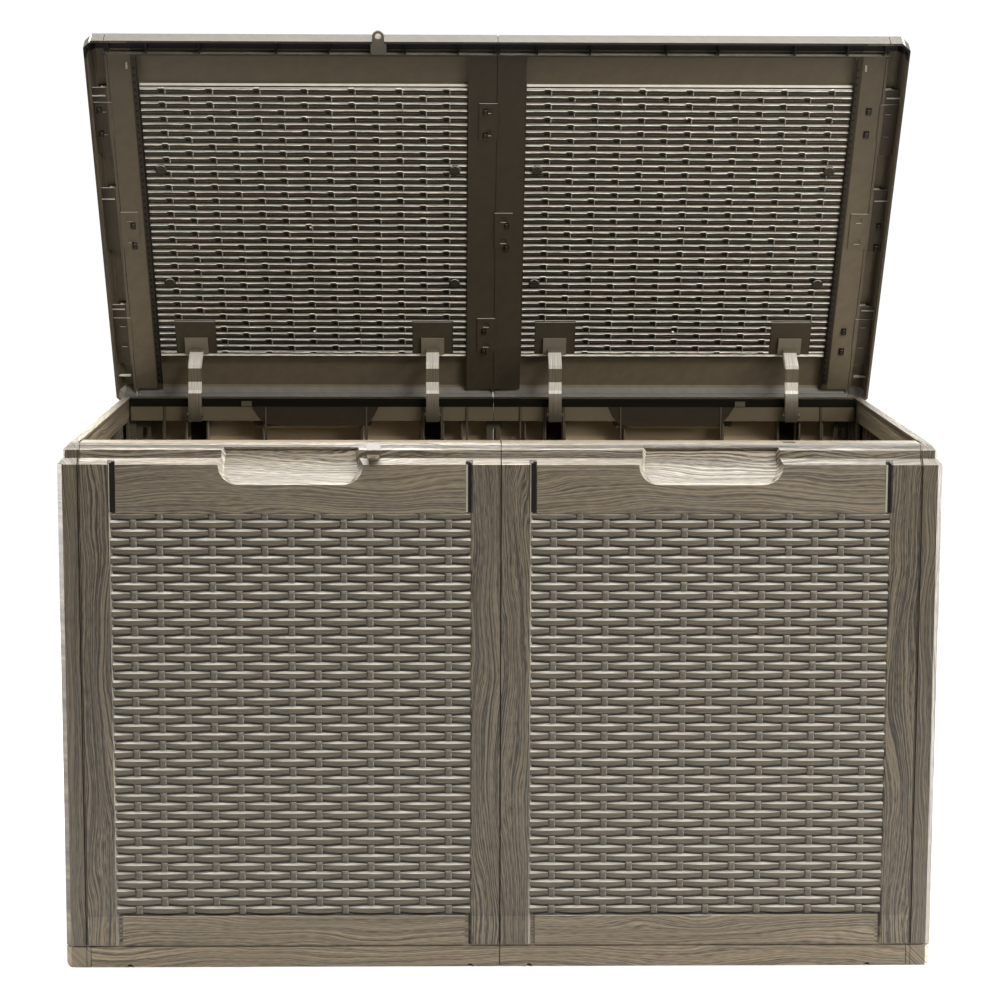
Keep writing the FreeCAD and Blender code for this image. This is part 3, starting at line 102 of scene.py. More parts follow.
# Lid, closed, in millimetres from the hinge axis.
HINGE = Vector((0, 323, 713))
LID_OPEN = 60
LID_UNDERSIDE = (0, -math.sin(math.radians(LID_OPEN)), -math.cos(math.radians(LID_OPEN)))
LID_FORWARD = (0, -math.cos(math.radians(LID_OPEN)), math.sin(math.radians(LID_OPEN)))
LID_MIDDLE = 283.5
LID_TOP = 33
LID_SKIN = 26.5
LID_RECESS = 6
SKIN = 3.5
LID_WEAVE_HALF = 240
LID_WEAVE_FRONT = -564
LID_WEAVE_REAR = -88
FIELD_FACE = LID_TOP - LID_RECESS - SKIN
LID_CHANNEL = (621.5, 646.4)
LID_SKIRT = 649.4
REAR_SKIRT = 30
OUTER_STILE = (534, 572)

# Marks on the lid's underside, in millimetres; faces are measured out from the back of its woven field.
STILE_FACE = FIELD_FACE - 20
SNAP_FACE = STILE_FACE + 1.2
REAR_EDGE = (83.2, 86)
FRAME_FOOT = (615.8, 618.2)
FRAME_REACH = (2, 572)
FRAME_RISE = (4.35, 3.9)
STRIP_HALF = 4
STRIP_GAP = 1.2
STRIP = (30, 612)
DOT_PITCH = 11.9
RIDGE_DROP = 2.2
ARM_INNER = 96
ARM_OUTER = 467
PAD_HALF = 32
PAD = (84, 150)
EJECTOR_PADS = ((501, 423), (61.5, 423), (501, 220.5), (61.5, 220.5))
GATE_REACH = 281
GATE_PIPS = (512, 321, 129)
HOOK = (539, 599)
WINDOW_HALF = 4
WINDOW_REACH = 6
CAP_REACH = (574, 594)
CAP_RIBS = (549, 372, 172, 45)
SNAP_WINDOWS = {
    -1: ((-17, 523), (-17, 483), (-16, 131), (-16, 93), (-550, 325), (-550, 289), (-585, 524), (-585, 484)),
    1: ((17, 326), (17, 286), (550, 526), (550, 487), (550, 132), (550, 94), (585, 326), (585, 288)),
}

# The weave, in millimetres: upright posts and the strands that pass over every other one.
POST_PITCH = 35.6
LID_POST_PITCH = 34.8
POST_HALF = 4.7
POST_SIDES = 6
STRAND_HALF = 5.6
STRAND_GAP = 0.3
SHORTEST_STRAND = 5
WALL_STRAND_RISE = 3.6
LID_STRAND_RISE = 4.2
ROW_RISE = 2.8
WALL_ROWS = 46
LID_ROWS = 40
EMBED = 0.3
SHARP_ANGLE = math.radians(30)

# Grain: noise scales across and along its bends, its lines and its streaks.
GRAIN_BENDS = (11.0, 3.2)
GRAIN_LINES = (540.0, 2.0)
GRAIN_STREAKS = (1200.0, 60.0)
BEND_REACH = 0.05
STREAK_SHARE = 0.35
NOISE_RANGE = (0.36, 0.64)
GRAIN_DEPTH = 0.001
GRAIN_CONTRAST = 0.7
BOLD_GRAIN = 1.9

# Colours, and tones that darken or lighten parts of the walls, the lid and the stay arms; apart from the
# seams' dark tone, these tones are painted light and painted shade.
RESIN = (0.088, 0.069, 0.044)
ARM_RESIN = (0.15, 0.12, 0.08)
CLIP_RESIN = (0.22, 0.19, 0.13)
RIB_RESIN = (0.1, 0.08, 0.055)
# Near-black of the joint lines, and of dark pieces of painted shade in notches, channels, snap windows and
# round pads, and of the strip's dots.
JOINT_AND_SHADE_DARK = (0.012, 0.009, 0.006)
SHADOW_RESIN = (0.035, 0.026, 0.017)
# A pale resin for painted light on the lit edge of the wall channels.
LIT_EDGE_RESIN = (0.26, 0.235, 0.19)
# The pale colour that painted light mixes in.
PALE = (0.4, 0.37, 0.315)
STEEL = (0.55, 0.55, 0.54)
RESIN_ROUGH = 0.38
LOW_GLOSS = 0.1
LID_GLOSS = 0.14
# Painted light on slopes and level faces that look up or to +X.
LIT_SLOPE = 0.45
LIT_TOP = 0.14
SEAM_TONE = 0.4
# Painted light on the base, the rails and the foot of the walls.
BASE_TONE = 2.1
RAIL_TONE = 1.35
FOOT_TONE = 1.3
# Painted shade in the rim's groove and in the sunk field and channels.
GROOVE_TONE = 0.45
SUNK_TONE = 0.3
# Painted light and shade that even out the lighting in the front scoops.
SCOOP_TONES = (1.8, 0.62)
# Painted light fading from left to right along the rim, and painted shade on the rear wall's rim.
RIM_TONES = (1.25, 0.8)
REAR_RIM_TONES = (0.34, 0.3)
RIM_FADE = 550
# Painted light and painted shadow on the rear wall's inner face.
FLANGE_TONE = 1.5
UNDER_RIM_TONE = 0.1
INNER_TONES = (1.2, 6.5)
INNER_FADE = (500, 650)
# Painted shade and painted light on the lid's underside, skirts and channel.
LID_UNDER_TONE = 0.4
LID_PALE_TONE = 1.84
LID_SKIRT_TONE = 0.12
LID_CHANNEL_TONE = 0.06
REAR_SKIRT_TONE = 0.3
OUTER_STILE_TONE = 2.2
LID_FADE = (80, 600)
LID_TONES = (2.2, 1.0)
# Painted highlights on the stay arms' face and bend, and painted shade towards their foot.
ARM_FACE = (780, 803)
ARM_BEND = (741, 759)
ARM_FADE = (690, 741)
ARM_TONES = (0.3, 1.0)
ARM_PALE_TONE = 1.9


# Materials.


class Shader:
    """Node-building shorthand for one material; levels and zones are given in millimetres."""

    def __init__(self, name):
        self.material = bpy.data.materials.new(name)
        self.material.use_nodes = True
        self.tree = self.material.node_tree
        self.tree.nodes.clear()
        self.place = self.add("ShaderNodeTexCoord").outputs["Object"]
        split = self.add("ShaderNodeSeparateXYZ", {"Vector": self.place})
        self.x, self.y, self.z = split.outputs
        # Shade level and painted light, taken in by finish: the shade level scales the tone and carries
        # painted light and shade as well as dark joints, and painted light mixes in the pale colour.
        self.shade = 1.0
        self.painted_light = 0.0

    def add(self, kind, inputs=None, **settings):
        node = self.tree.nodes.new(kind)
        for key, setting in settings.items():
            setattr(node, key, setting)
        for key, source in (inputs or {}).items():
            if isinstance(source, bpy.types.NodeSocket):
                self.tree.links.new(source, node.inputs[key])
            else:
                node.inputs[key].default_value = source
        return node

    def math(self, operation, first, second=0.0, third=0.0):
        node = self.add("ShaderNodeMath", {0: first, 1: second, 2: third}, operation=operation)
        return node.outputs[0]

    def plus(self, first, second):
        return self.math("ADD", first, second)

    def times(self, first, second):
        return self.math("MULTIPLY", first, second)

    def larger(self, first, second):
        return self.math("MAXIMUM", first, second)

    def dot(self, vector, direction):
        node = self.add("ShaderNodeVectorMath", {0: vector, 1: direction}, operation="DOT_PRODUCT")
        return node.outputs["Value"]

    def pick(self, mask, first, second):
        """The first tone where the mask is 0 and the second where it is 1."""
        node = self.add("ShaderNodeMix", {0: mask, 2: first, 3: second}, data_type="FLOAT")
        return node.outputs[0]

    def above(self, position, level):
        """1 where the position is past the level and 0 elsewhere."""
        return self.math("GREATER_THAN", position, level * MM)

    def below(self, position, level):
        return self.math("LESS_THAN", position, level * MM)

    def within(self, position, low, high):
        """1 between the two levels and 0 elsewhere."""
        return self.times(self.above(position, low), self.below(position, high))

    def ramp(self, position, start, end, first, last):
        """A tone that goes from first to last between two levels."""
        inputs = {"Value": position, 1: start * MM, 2: end * MM, 3: first, 4: last}
        return self.add("ShaderNodeMapRange", inputs).outputs[0]

    def facing(self, direction, start, end, off, on):
        """A tone that goes from off to on as a face, at rest, turns towards the direction."""
        normal = self.add("ShaderNodeTexCoord").outputs["Normal"]
        inputs = {"Value": self.dot(normal, direction), 1: start, 2: end, 3: off, 4: on}
        return self.add("ShaderNodeMapRange", inputs).outputs[0]

    def noise(self, u, v, scale_u, scale_v, detail=2.0, offset=0.0):
        """Noise in a plane, with its own scale along each direction."""
        vector = self.add(
            "ShaderNodeCombineXYZ",
            {"X": self.times(u, scale_u), "Y": self.math("MULTIPLY_ADD", v, scale_v, offset)},
        )
        node = self.add(
            "ShaderNodeTexNoise",
            {"Vector": vector.outputs[0], "Scale": 1.0, "Detail": detail, "Roughness": 0.55},
            noise_dimensions="2D",
        )
        return node.outputs[0]

    def grain(self, across, along):
        """Wood grain, from 0 to 1: long lines that bend together, with short streaks between them."""
        bend = self.math("SUBTRACT", self.noise(across, along, *GRAIN_BENDS), 0.5)
        bent = self.math("MULTIPLY_ADD", bend, BEND_REACH, across)
        lines = self.noise(bent, along, *GRAIN_LINES, detail=3.0, offset=3.7)
        streaks = self.noise(bent, along, *GRAIN_STREAKS, offset=9.1)
        return self.math("MULTIPLY_ADD", streaks, STREAK_SHARE, self.times(lines, 1 - STREAK_SHARE))

    def under_lid(self, dark, pale, side=0.0):
        """The lid's underside gets painted shade on faces that look along it and painted light on its faces
        towards the front edge or +X.
        """
        below = self.facing(LID_UNDERSIDE, 0.3, 0.75, off=1.0, on=dark)
        front = self.facing(LID_FORWARD, 0.28, 0.6, off=0.0, on=1.0)
        self.painted_light = self.larger(front, self.facing(RIGHT, 0.4, 0.9, off=0.0, on=side))
        self.shade = self.pick(self.painted_light, below, pale)

    def finish(self, colour, height, roughness, depth, contrast, gloss=0.5):
        """Resin of one colour, mixed towards the pale colour where light is painted on and scaled by the
        shade level, darker in its grooves, with a bump of the given depth.
        """
        low, high = NOISE_RANGE
        inputs = {"Value": height, 1: low, 2: high, 3: 1.0 - contrast, 4: 1.0 + contrast}
        tone = self.add("ShaderNodeMapRange", inputs)
        level = self.times(tone.outputs[0], self.shade)
        mixed = self.add("ShaderNodeMix", {0: self.painted_light, 6: (*colour, 1), 7: (*PALE, 1)}, data_type="RGBA")
        shade = self.add("ShaderNodeVectorMath", {0: mixed.outputs[2], 1: level}, operation="MULTIPLY")
        bump = self.add("ShaderNodeBump", {"Height": height, "Strength": 1.0, "Distance": depth})
        bsdf = self.add(
            "ShaderNodeBsdfPrincipled",
            {
                "Base Color": shade.outputs[0],
                "Roughness": roughness,
                "Specular IOR Level": gloss,
                "Normal": bump.outputs[0],
            },
        )
        output = self.add("ShaderNodeOutputMaterial", {"Surface": bsdf.outputs[0]})
        output.is_active_output = True
        return self.material


def rim_groove(shader):
    """1 along the groove in the rim's sloped edge."""
    return shader.within(shader.z, *RIM_GROOVE)


def rim_band(shader):
    """1 on the upright band below the rim's edge."""
    return shader.within(shader.z, *BAND)


def paint_edge_light(shader, flanks):
    """Painted light: slopes that look up or to the +X side, towards the lamps, are painted pale, level faces
    a little, the rim's groove not at all.

    Flanks are upright faces that look straight to +X.
    """
    slope = shader.facing(UP, 0.05, 0.3, off=0.0, on=LIT_SLOPE)
    level = shader.facing(UP, 0.62, 0.7, off=0.0, on=1.0)
    upward = shader.pick(level, slope, LIT_TOP)
    upward = shader.times(upward, shader.pick(rim_groove(shader), 1.0, 0.0))
    sideways = shader.facing(RIGHT, 0.3, 0.65, off=0.0, on=LIT_SLOPE)
    if not flanks:
        sideways = shader.times(sideways, shader.facing(RIGHT, 0.8, 0.95, off=1.0, on=0.0))
    shader.painted_light = shader.larger(upward, sideways)


def dark_seams(shader):
    """A darker tone along the joints between the wall pieces."""
    reach = shader.math("ABSOLUTE", shader.x)
    corner = shader.within(reach, POST_SEAM - SEAM, POST_SEAM + SEAM)
    return shader.pick(shader.larger(shader.below(reach, SEAM), corner), 1.0, SEAM_TONE)


def scoop_zone(shader, reach):
    """1 in the hollow of a front finger scoop, behind the rail's face."""
    deep = shader.within(shader.y, SCOOP_FACE, LIP_FACE)
    tall = shader.within(shader.z, SCOOP_FOOT, RIM_GROOVE[0])
    return shader.times(shader.below(reach, SCOOP_HALF), shader.times(deep, tall))


def sunk_zone(shader, reach):
    """1 in the woven field and the upright channels, apart from their faces towards +X."""
    tall = shader.within(shader.z, WEAVE_LOW + 1, WEAVE_HIGH - 1)
    field = shader.times(shader.below(reach, FIELD_HALF), tall)
    tall = shader.within(shader.z, WEAVE_HIGH, CHANNEL_SHADE_TOP)
    channel = shader.times(shader.within(reach, *CHANNEL), tall)
    lit = shader.facing(RIGHT, 0.3, 0.6, off=1.0, on=0.0)
    return shader.times(shader.larger(field, channel), lit)


def wall_tone(shader, reach, stile, rim_tones):
    """The levels of tone on a wall: painted light on rails and foot and fading from left to right along the
    rim, painted shade in the groove and sunk parts, and painted light and shade in the scoops.
    """
    tone = shader.pick(stile, RAIL_TONE, 1.0)
    tone = shader.times(tone, shader.pick(shader.below(shader.z, WEAVE_LOW), 1.0, FOOT_TONE))
    rim = shader.times(shader.above(shader.z, SHOULDER_Z), shader.pick(rim_band(shader), 1.0, 0.0))
    fade = shader.ramp(shader.x, -RIM_FADE, RIM_FADE, *rim_tones)
    tone = shader.times(tone, shader.pick(rim, 1.0, fade))
    tone = shader.times(tone, shader.pick(rim_groove(shader), 1.0, GROOVE_TONE))
    scoop = shader.facing(UP, 0.1, 0.65, *SCOOP_TONES)
    tone = shader.times(tone, shader.pick(scoop_zone(shader, reach), 1.0, scoop))
    return shader.pick(sunk_zone(shader, reach), tone, SUNK_TONE)


def rear_inside(shader):
    """Painted shade and light on the rear wall's inner face: a painted shadow under the rim, and painted
    light on the flange and on the wall below it, rising towards the top.
    """
    wall = shader.times(shader.below(shader.z, FLANGE_FOOT), shader.above(shader.y, REAR_FACE))
    tone = shader.pick(wall, FLANGE_TONE, shader.ramp(shader.z, *INNER_FADE, *INNER_TONES))
    return shader.pick(shader.above(shader.z, RIM_SHADOW), tone, UNDER_RIM_TONE)


def wood_panel(name, side_wall=False, gloss=0.5, rim_tones=RIM_TONES):
    """Wall resin with upright grain on the stiles and level grain on rails and rim."""
    shader = Shader(name)
    wide, deep = (shader.y, shader.x) if side_wall else (shader.x, shader.y)
    middle = 0.0 if side_wall else BAY * MM
    reach = shader.math("ABSOLUTE", shader.math("SUBTRACT", shader.math("ABSOLUTE", wide), middle))
    stile = shader.times(shader.above(reach, FIELD_HALF), shader.below(shader.z, SHOULDER_Z))
    level = shader.grain(shader.plus(shader.z, deep), wide)
    upright = shader.grain(shader.plus(wide, deep), shader.z)
    bold = shader.pick(shader.larger(rim_band(shader), stile), 1.0, BOLD_GRAIN)
    height = shader.math("SUBTRACT", shader.pick(stile, level, upright), 0.5)
    height = shader.math("MULTIPLY_ADD", height, bold, 0.5)
    # Painted light on faces that look up or to +X.
    paint_edge_light(shader, flanks=not side_wall)
    shader.shade = wall_tone(shader, reach, stile, rim_tones)
    if not side_wall:
        # The rear wall's inner face takes the painted shadow and light of rear_inside, without grain.
        facing = shader.facing(FORWARD, 0.5, 0.6, off=0.0, on=1.0)
        inner = shader.times(facing, shader.above(shader.y, INNER_START))
        shader.shade = shader.times(shader.shade, dark_seams(shader))
        shader.shade = shader.pick(inner, shader.shade, rear_inside(shader))
        height = shader.pick(inner, height, 0.5)
    return shader.finish(RESIN, height, RESIN_ROUGH, GRAIN_DEPTH, GRAIN_CONTRAST, gloss)


def wood(name, direction):
    """Resin of the posts, with grain along Z, or of the floor, with grain along X or Y."""
    shader = Shader(name)
    # Painted light on faces that look up or to +X.
    paint_edge_light(shader, flanks=False)
    shader.shade = dark_seams(shader)
    if direction == "Z":
        height = shader.grain(shader.plus(shader.x, shader.y), shader.z)
    else:
        across, along = (shader.y, shader.x) if direction == "X" else (shader.x, shader.y)
        # Painted light that brightens the base.
        shader.shade = shader.times(shader.shade, BASE_TONE)
        height = shader.grain(shader.plus(shader.z, across), along)
    return shader.finish(RESIN, height, RESIN_ROUGH, GRAIN_DEPTH, GRAIN_CONTRAST)


def woven(name, direction="X", upper=UP):
    """Strand resin with fine streaks along the strand, with painted light on its upper edge and painted shade
    below; along X, also painted shade on faces towards -X and painted light on faces towards +X.
    """
    shader = Shader(name)
    across, along = (shader.y, shader.x) if direction == "X" else (shader.x, shader.y)
    shader.shade = shader.facing(upper, -0.6, -0.1, off=0.25, on=1.0)
    shader.painted_light = shader.facing(upper, 0.1, 0.6, off=0.0, on=1.0)
    if direction == "X":
        shader.shade = shader.times(shader.shade, shader.facing(LEFT, 0.3, 0.7, off=1.0, on=0.3))
        shader.painted_light = shader.larger(shader.painted_light, shader.facing(RIGHT, 0.3, 0.7, off=0.0, on=0.5))
    height = shader.noise(shader.plus(shader.z, across), along, 1100.0, 28.0)
    return shader.finish(RESIN, height, RESIN_ROUGH, 0.0005, 0.3)


def woven_back(name):
    """The woven field's underside, with the underside's painted shade and painted light."""
    shader = Shader(name)
    shader.under_lid(dark=0.42, pale=2.7, side=0.5)
    height = shader.noise(shader.z, shader.x, 700.0, 60.0)
    return shader.finish(RESIN, height, 0.5, 0.0002, 0.25, LID_GLOSS)


def uneven(shader):
    """The faint unevenness of plain moulded resin."""
    return shader.noise(shader.plus(shader.x, shader.y), shader.z, 60.0, 60.0, detail=3.0)


def smooth(name, colour=RESIN, roughness=0.4, gloss=0.5):
    """Plain moulded resin."""
    shader = Shader(name)
    return shader.finish(colour, uneven(shader), roughness, 0.0001, 0.05, gloss)


def arm_smooth(name):
    """The stay arms, with a painted highlight on the face below the clip and on the bend, and painted shade
    towards the foot.
    """
    shader = Shader(name)
    low = shader.ramp(shader.z, *ARM_FADE, *ARM_TONES)
    shader.painted_light = shader.larger(shader.within(shader.z, *ARM_FACE), shader.within(shader.z, *ARM_BEND))
    shader.shade = shader.pick(shader.painted_light, low, ARM_PALE_TONE)
    height = shader.noise(shader.x, shader.z, 1500.0, 20.0)
    return shader.finish(ARM_RESIN, height, 0.36, 0.0001, 0.3)


def lid_smooth(name):
    """The lid's resin, with painted light on the underside's forward faces and on the front skirt only.

    Underneath, painted shade darkens the channel behind the front edge, and painted light rises towards the
    hinge and on the outer stiles.
    """
    shader = Shader(name)
    shader.under_lid(LID_UNDER_TONE, LID_PALE_TONE)
    place = shader.add("ShaderNodeVectorMath", {0: shader.place, 1: HINGE * MM}, operation="SUBTRACT")
    reach = shader.dot(place.outputs[0], LID_FORWARD)
    skirt = shader.above(reach, LID_SKIRT)
    outer = shader.below(shader.dot(place.outputs[0], LID_UNDERSIDE), -LID_SKIN)
    outer = shader.pick(skirt, outer, 0.0)
    shader.painted_light = shader.pick(outer, shader.painted_light, 0.0)
    shader.shade = shader.pick(outer, shader.shade, 1.0)
    # Painted shade: the front skirt's painted light toned down, the channel behind the front edge darkened
    # and the rear skirt's lit faces dimmed.
    level = shader.pick(skirt, 1.0, LID_SKIRT_TONE)
    level = shader.pick(shader.within(reach, *LID_CHANNEL), level, LID_CHANNEL_TONE)
    rear_skirt = shader.times(shader.below(reach, REAR_SKIRT), shader.painted_light)
    level = shader.pick(rear_skirt, level, REAR_SKIRT_TONE)
    # Painted light rising towards the hinge and on the outer stiles, on faces that look along the underside.
    stile = shader.within(shader.math("ABSOLUTE", shader.x), *OUTER_STILE)
    painted_light_rise = shader.ramp(reach, *LID_FADE, *LID_TONES)
    painted_light_rise = shader.times(painted_light_rise, shader.pick(stile, 1.0, OUTER_STILE_TONE))
    painted_light_rise = shader.pick(shader.facing(LID_UNDERSIDE, 0.3, 0.6, off=0.0, on=1.0), 1.0, painted_light_rise)
    painted_light_rise = shader.pick(shader.painted_light, painted_light_rise, 1.0)
    shader.shade = shader.times(shader.times(shader.shade, level), painted_light_rise)
    return shader.finish(RESIN, uneven(shader), 0.5, 0.0001, 0.05, LID_GLOSS)


def steel(name):
    """Drawn rod of the hinge pins."""
    shader = Shader(name)
    height = shader.noise(shader.x, shader.plus(shader.y, shader.z), 30.0, 2500.0)
    material = shader.finish(STEEL, height, 0.35, 0.00003, 0.05)
    material.node_tree.nodes["Principled BSDF"].inputs["Metallic"].default_value = 1.0
    return material


M = {
    "wall": wood_panel("wall_resin"),
    # The rear wall gets painted shade on its rim.
    "rear": wood_panel("rear_wall_resin", gloss=LOW_GLOSS, rim_tones=REAR_RIM_TONES),
    "side": wood_panel("side_wall_resin", side_wall=True),
    "post": wood("post_resin", "Z"),
    "floor": wood("floor_resin", "X"),
    "floor_end": wood("floor_end_resin", "Y"),
    "lid": lid_smooth("lid_resin"),
    "fitting": smooth("fitting_resin"),
    # Near-black for joint lines and for pieces of painted shade.
    "hollow": smooth("joint_and_shade_resin", JOINT_AND_SHADE_DARK, 0.6, LOW_GLOSS),
    "arm": arm_smooth("arm_resin"),
    "clip": smooth("clip_resin", CLIP_RESIN, 0.36),
    "shadow": smooth("shadow_resin", SHADOW_RESIN, 0.6, LOW_GLOSS),
    "rib": smooth("rib_resin", RIB_RESIN, 0.6, LOW_GLOSS),
    # Pale resin of painted light on the channels' edges.
    "edge": smooth("lit_edge_resin", LIT_EDGE_RESIN, 0.5),
    "weave_x": woven("weave_resin"),
    "weave_y": woven("side_weave_resin", "Y"),
    "weave_lid": woven("lid_weave_resin", upper=LID_FORWARD),
    "weave_back": woven_back("weave_back_resin"),
    "steel": steel("pin_steel"),
}

# The look of each node, by the start of its name.
LOOKS = {
    "front_panel": "wall",
    "rear_panel": "rear",
    "side_panel": "side",
    "corner_post": "post",
    "base_end": "floor_end",
    "base": "floor",
    "lid_panel": "lid",
    "lid_end": "lid",
    "lid_joint_snaps": "lid",
    "hinge_pins": "steel",
    "stay_arm": "arm",
    "stay_clip": "clip",
}


def material_of(node):
    """The material of a node of the solids."""
    for start, look in LOOKS.items():
        if node.startswith(start):
            return M[look]
    return M["fitting"]


for node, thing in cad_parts.items():
    thing.data.materials.clear()
    thing.data.materials.append(material_of(node))


# Meshes.


class Mesh:
    """Gathers closed shapes into one piece, placed by a matrix that takes millimetres to the row frame."""

    def __init__(self, matrix):
        self.matrix = matrix
        self.points = []
        self.faces = []

    def loft(self, rings):
        """A closed solid through rings of equal count, with its ends capped."""
        start = len(self.points)
        count = len(rings[0])
        for ring in rings:
            for point in ring:
                self.points.append(self.matrix @ Vector(point))
        for step in range(len(rings) - 1):
            low = start + step * count
            for index in range(count):
                after = (index + 1) % count
                self.faces.append((low + index, low + after, low + count + after, low + count + index))
        last = start + (len(rings) - 1) * count
        self.faces.append(tuple(start + index for index in reversed(range(count))))
        self.faces.append(tuple(last + index for index in range(count)))

    def piece(self, name, body, slot, material):
        mesh = bpy.data.meshes.new(name)
        mesh.from_pydata([point * MM for point in self.points], [], self.faces)
        shape = bmesh.new()
        shape.from_mesh(mesh)
        bmesh.ops.recalc_face_normals(shape, faces=shape.faces)
        shape.to_mesh(mesh)
        shape.free()
        mesh.polygons.foreach_set("use_smooth", [True] * len(mesh.polygons))
        mesh.set_sharp_from_angle(angle=SHARP_ANGLE)
        mesh.materials.append(material)
        thing = bpy.data.objects.new(name, mesh)
        bpy.context.scene.collection.objects.link(thing)
        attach(thing, body)


# Plain shapes: u across, v up or towards the lid's front, w out of the face.


def bar(mesh, low, high):
    """A plain bar between two opposite corners."""
    (a, b, c), (d, e, f) = low, high
    mesh.loft([[(a, b, w), (d, b, w), (d, e, w), (a, e, w)] for w in (c, f)])


def plate(mesh, outline, low, high):
    """A flat plate with the given outline."""
    mesh.loft([[(u, v, w) for u, v in outline] for w in (low, high)])


def wedge(mesh, left, right, low, high, rise, top=0.2):
    """A bar with a sloped face: rise proud at its low edge and top proud at its high one."""
    profile = [(low, -EMBED), (low, rise), (high, top), (high, -EMBED)]
    mesh.loft([[(u, v, w) for v, w in profile] for u in (left, right)])


def tick(mesh, edge, low, high):
    """The slope beside a post, which looks towards +u."""
    profile = [(edge - 0.6, -EMBED), (edge - 0.6, 1.9), (edge, 1.9), (edge + 1.7, -EMBED)]
    mesh.loft([[(u, v, w) for u, w in profile] for v in (low, high)])


def disc(mesh, centre, radius, high, edge=0.0):
    """A round pad with its rim sloped by edge."""
    turns = [2 * math.pi * index / 20 for index in range(20)]
    rings = []
    for size, w in ((radius, -EMBED), (radius, high - edge), (radius - edge, high)):
        rings.append([(centre[0] + size * math.cos(t), centre[1] + size * math.sin(t), w) for t in turns])
    mesh.loft(rings)


def span(side, reach, shift=0):
    """The lower and higher u of a zone that lies on one side of the middle."""
    return sorted(side * end - shift for end in reach)


# Woven fields.


def strand(mesh, left, right, centre, row, base, peak, end_half, end_rise, squeeze, apart):
    """One strand over the post at centre: widest and proudest there, narrow and sunk at its ends."""
    rings = []
    steps = 10 if right - left > apart else 6
    for step in range(steps + 1):
        u = left + (right - left) * step / steps
        rise = math.cos(math.pi / 2 * min(abs(u - centre) / apart, 1))
        half = end_half + (STRAND_HALF - end_half) * rise
        top = base + end_rise + (peak - end_rise) * rise ** 0.8
        edge = 0.5 + 2.7 * rise
        profile = [
            (-half, base - EMBED),
            (-half, top - 1.8 * min(1, rise + 0.35)),
            (1.3 - half, top - 0.2),
            (half - edge, top),
            (half, top - 0.8 * edge),
            (half, base - EMBED),
        ]
        rings.append([(u, row + v * squeeze, w) for v, w in profile])
    mesh.loft(rings)


def post(mesh, centre, row, half, base, peak):
    """The stretch of a post that shows between the strands above and below it."""
    profile = [(-1, -1), (-1, 0.55), (-0.68, 0.92), (0, 1), (0.68, 0.92), (1, 0.55), (1, -1)]
    rings = []
    for v, sink in ((-half, 1.0), (-half + 1.6, 0.1), (0, 0), (half - 1.6, 0.1), (half, 1.0)):
        ring = []
        for across, lift in reversed(profile):
            depth = base - EMBED if lift < 0 else base + peak * lift - sink
            ring.append((centre + across * POST_HALF, row + v, depth))
        rings.append(ring)
    mesh.loft(rings)


def weave(
    mesh, low, high, rows, base, peak, reach,
    end_half=3.4, end_rise=0.9, hidden=0.0, apart=POST_PITCH,
):
    """A woven field between two heights; its strands stop at reach.

    The frame above the field covers the hidden part of its first row.
    """
    pitch = (high - low) / rows
    for index in range(rows):
        row = high - (index + 0.5) * pitch
        squeeze = 1.0
        if index == 0:
            row -= hidden / 2
            squeeze -= hidden / pitch
        first = 1 - index % 2
        for k in range(-POST_SIDES, POST_SIDES + 1):
            if (k + first) % 2 == 0:
                post(mesh, k * apart, row, (pitch / 2 + STRAND_GAP) * squeeze, base, peak - 0.7)
        for k in range(-POST_SIDES - 1, POST_SIDES + 2):
            if (k + first) % 2 == 0:
                continue
            centre = k * apart
            left = max(centre - apart + POST_HALF + STRAND_GAP, -reach)
            right = min(centre + apart - POST_HALF - STRAND_GAP, reach)
            if right - left > SHORTEST_STRAND:
                strand(mesh, left, right, centre, row, base, peak, end_half, end_rise, squeeze, apart)


def along(points, step):
    """The points of an open line with more put in between, at most step apart."""
    line = []
    for (u, v), (next_u, next_v) in zip(points, points[1:]):
        parts = max(1, math.ceil((next_u - u) / step))
        for part in range(parts):
            line.append((u + (next_u - u) * part / parts, v + (next_v - v) * part / parts))
    line.append(points[-1])
    return line


def ridge(mesh, left, right, row, odd):
    """Thin ridge between two strands, seen from behind; it steps over every second post."""
    points = [(left, 0)]
    for k in range(-POST_SIDES, POST_SIDES + 1):
        if (k + odd) % 2:
            continue
        centre = k * LID_POST_PITCH
        lift = 1.9 + random.uniform(-0.4, 0.4)
        points += [
            (centre - POST_HALF - 1.2, 0),
            (centre - POST_HALF + 0.8, lift),
            (centre + POST_HALF - 1.4, lift),
            (centre + POST_HALF + 0.4, 0),
        ]
    points.append((right, 0))
    points = [point for point in points if left <= point[0] <= right]
    rings = []
    for u, lift in along(points, 6):
        wave = 0.3 * math.sin(u * math.pi / LID_POST_PITCH + odd * math.pi / 2) + random.uniform(-0.1, 0.1)
        foot = row + min(wave, 0.2)
        crest = row + lift + wave
        rings.append(
            [
                (u, crest + 1.5, -EMBED),
                (u, crest + 0.4, 2.5),
                (u, foot - 0.3, 2.7),
                (u, foot - 0.8, 2.3),
                (u, foot - 1.5, -EMBED),
            ]
        )
    mesh.loft(rings)


def clear_of(pads, v):
    """The stretches of a line across the lid's field at height v that miss its pads."""
    stretches = [(-LID_WEAVE_HALF, LID_WEAVE_HALF)]
    for pad_left, pad_right in pads:
        if not PAD[0] <= v <= PAD[1]:
            continue
        cut = []
        for start, end in stretches:
            if start < pad_left:
                cut.append((start, min(end, pad_left)))
            if end > pad_right:
                cut.append((max(start, pad_right), end))
        stretches = cut
    return [(start, end) for start, end in stretches if end - start > 4]


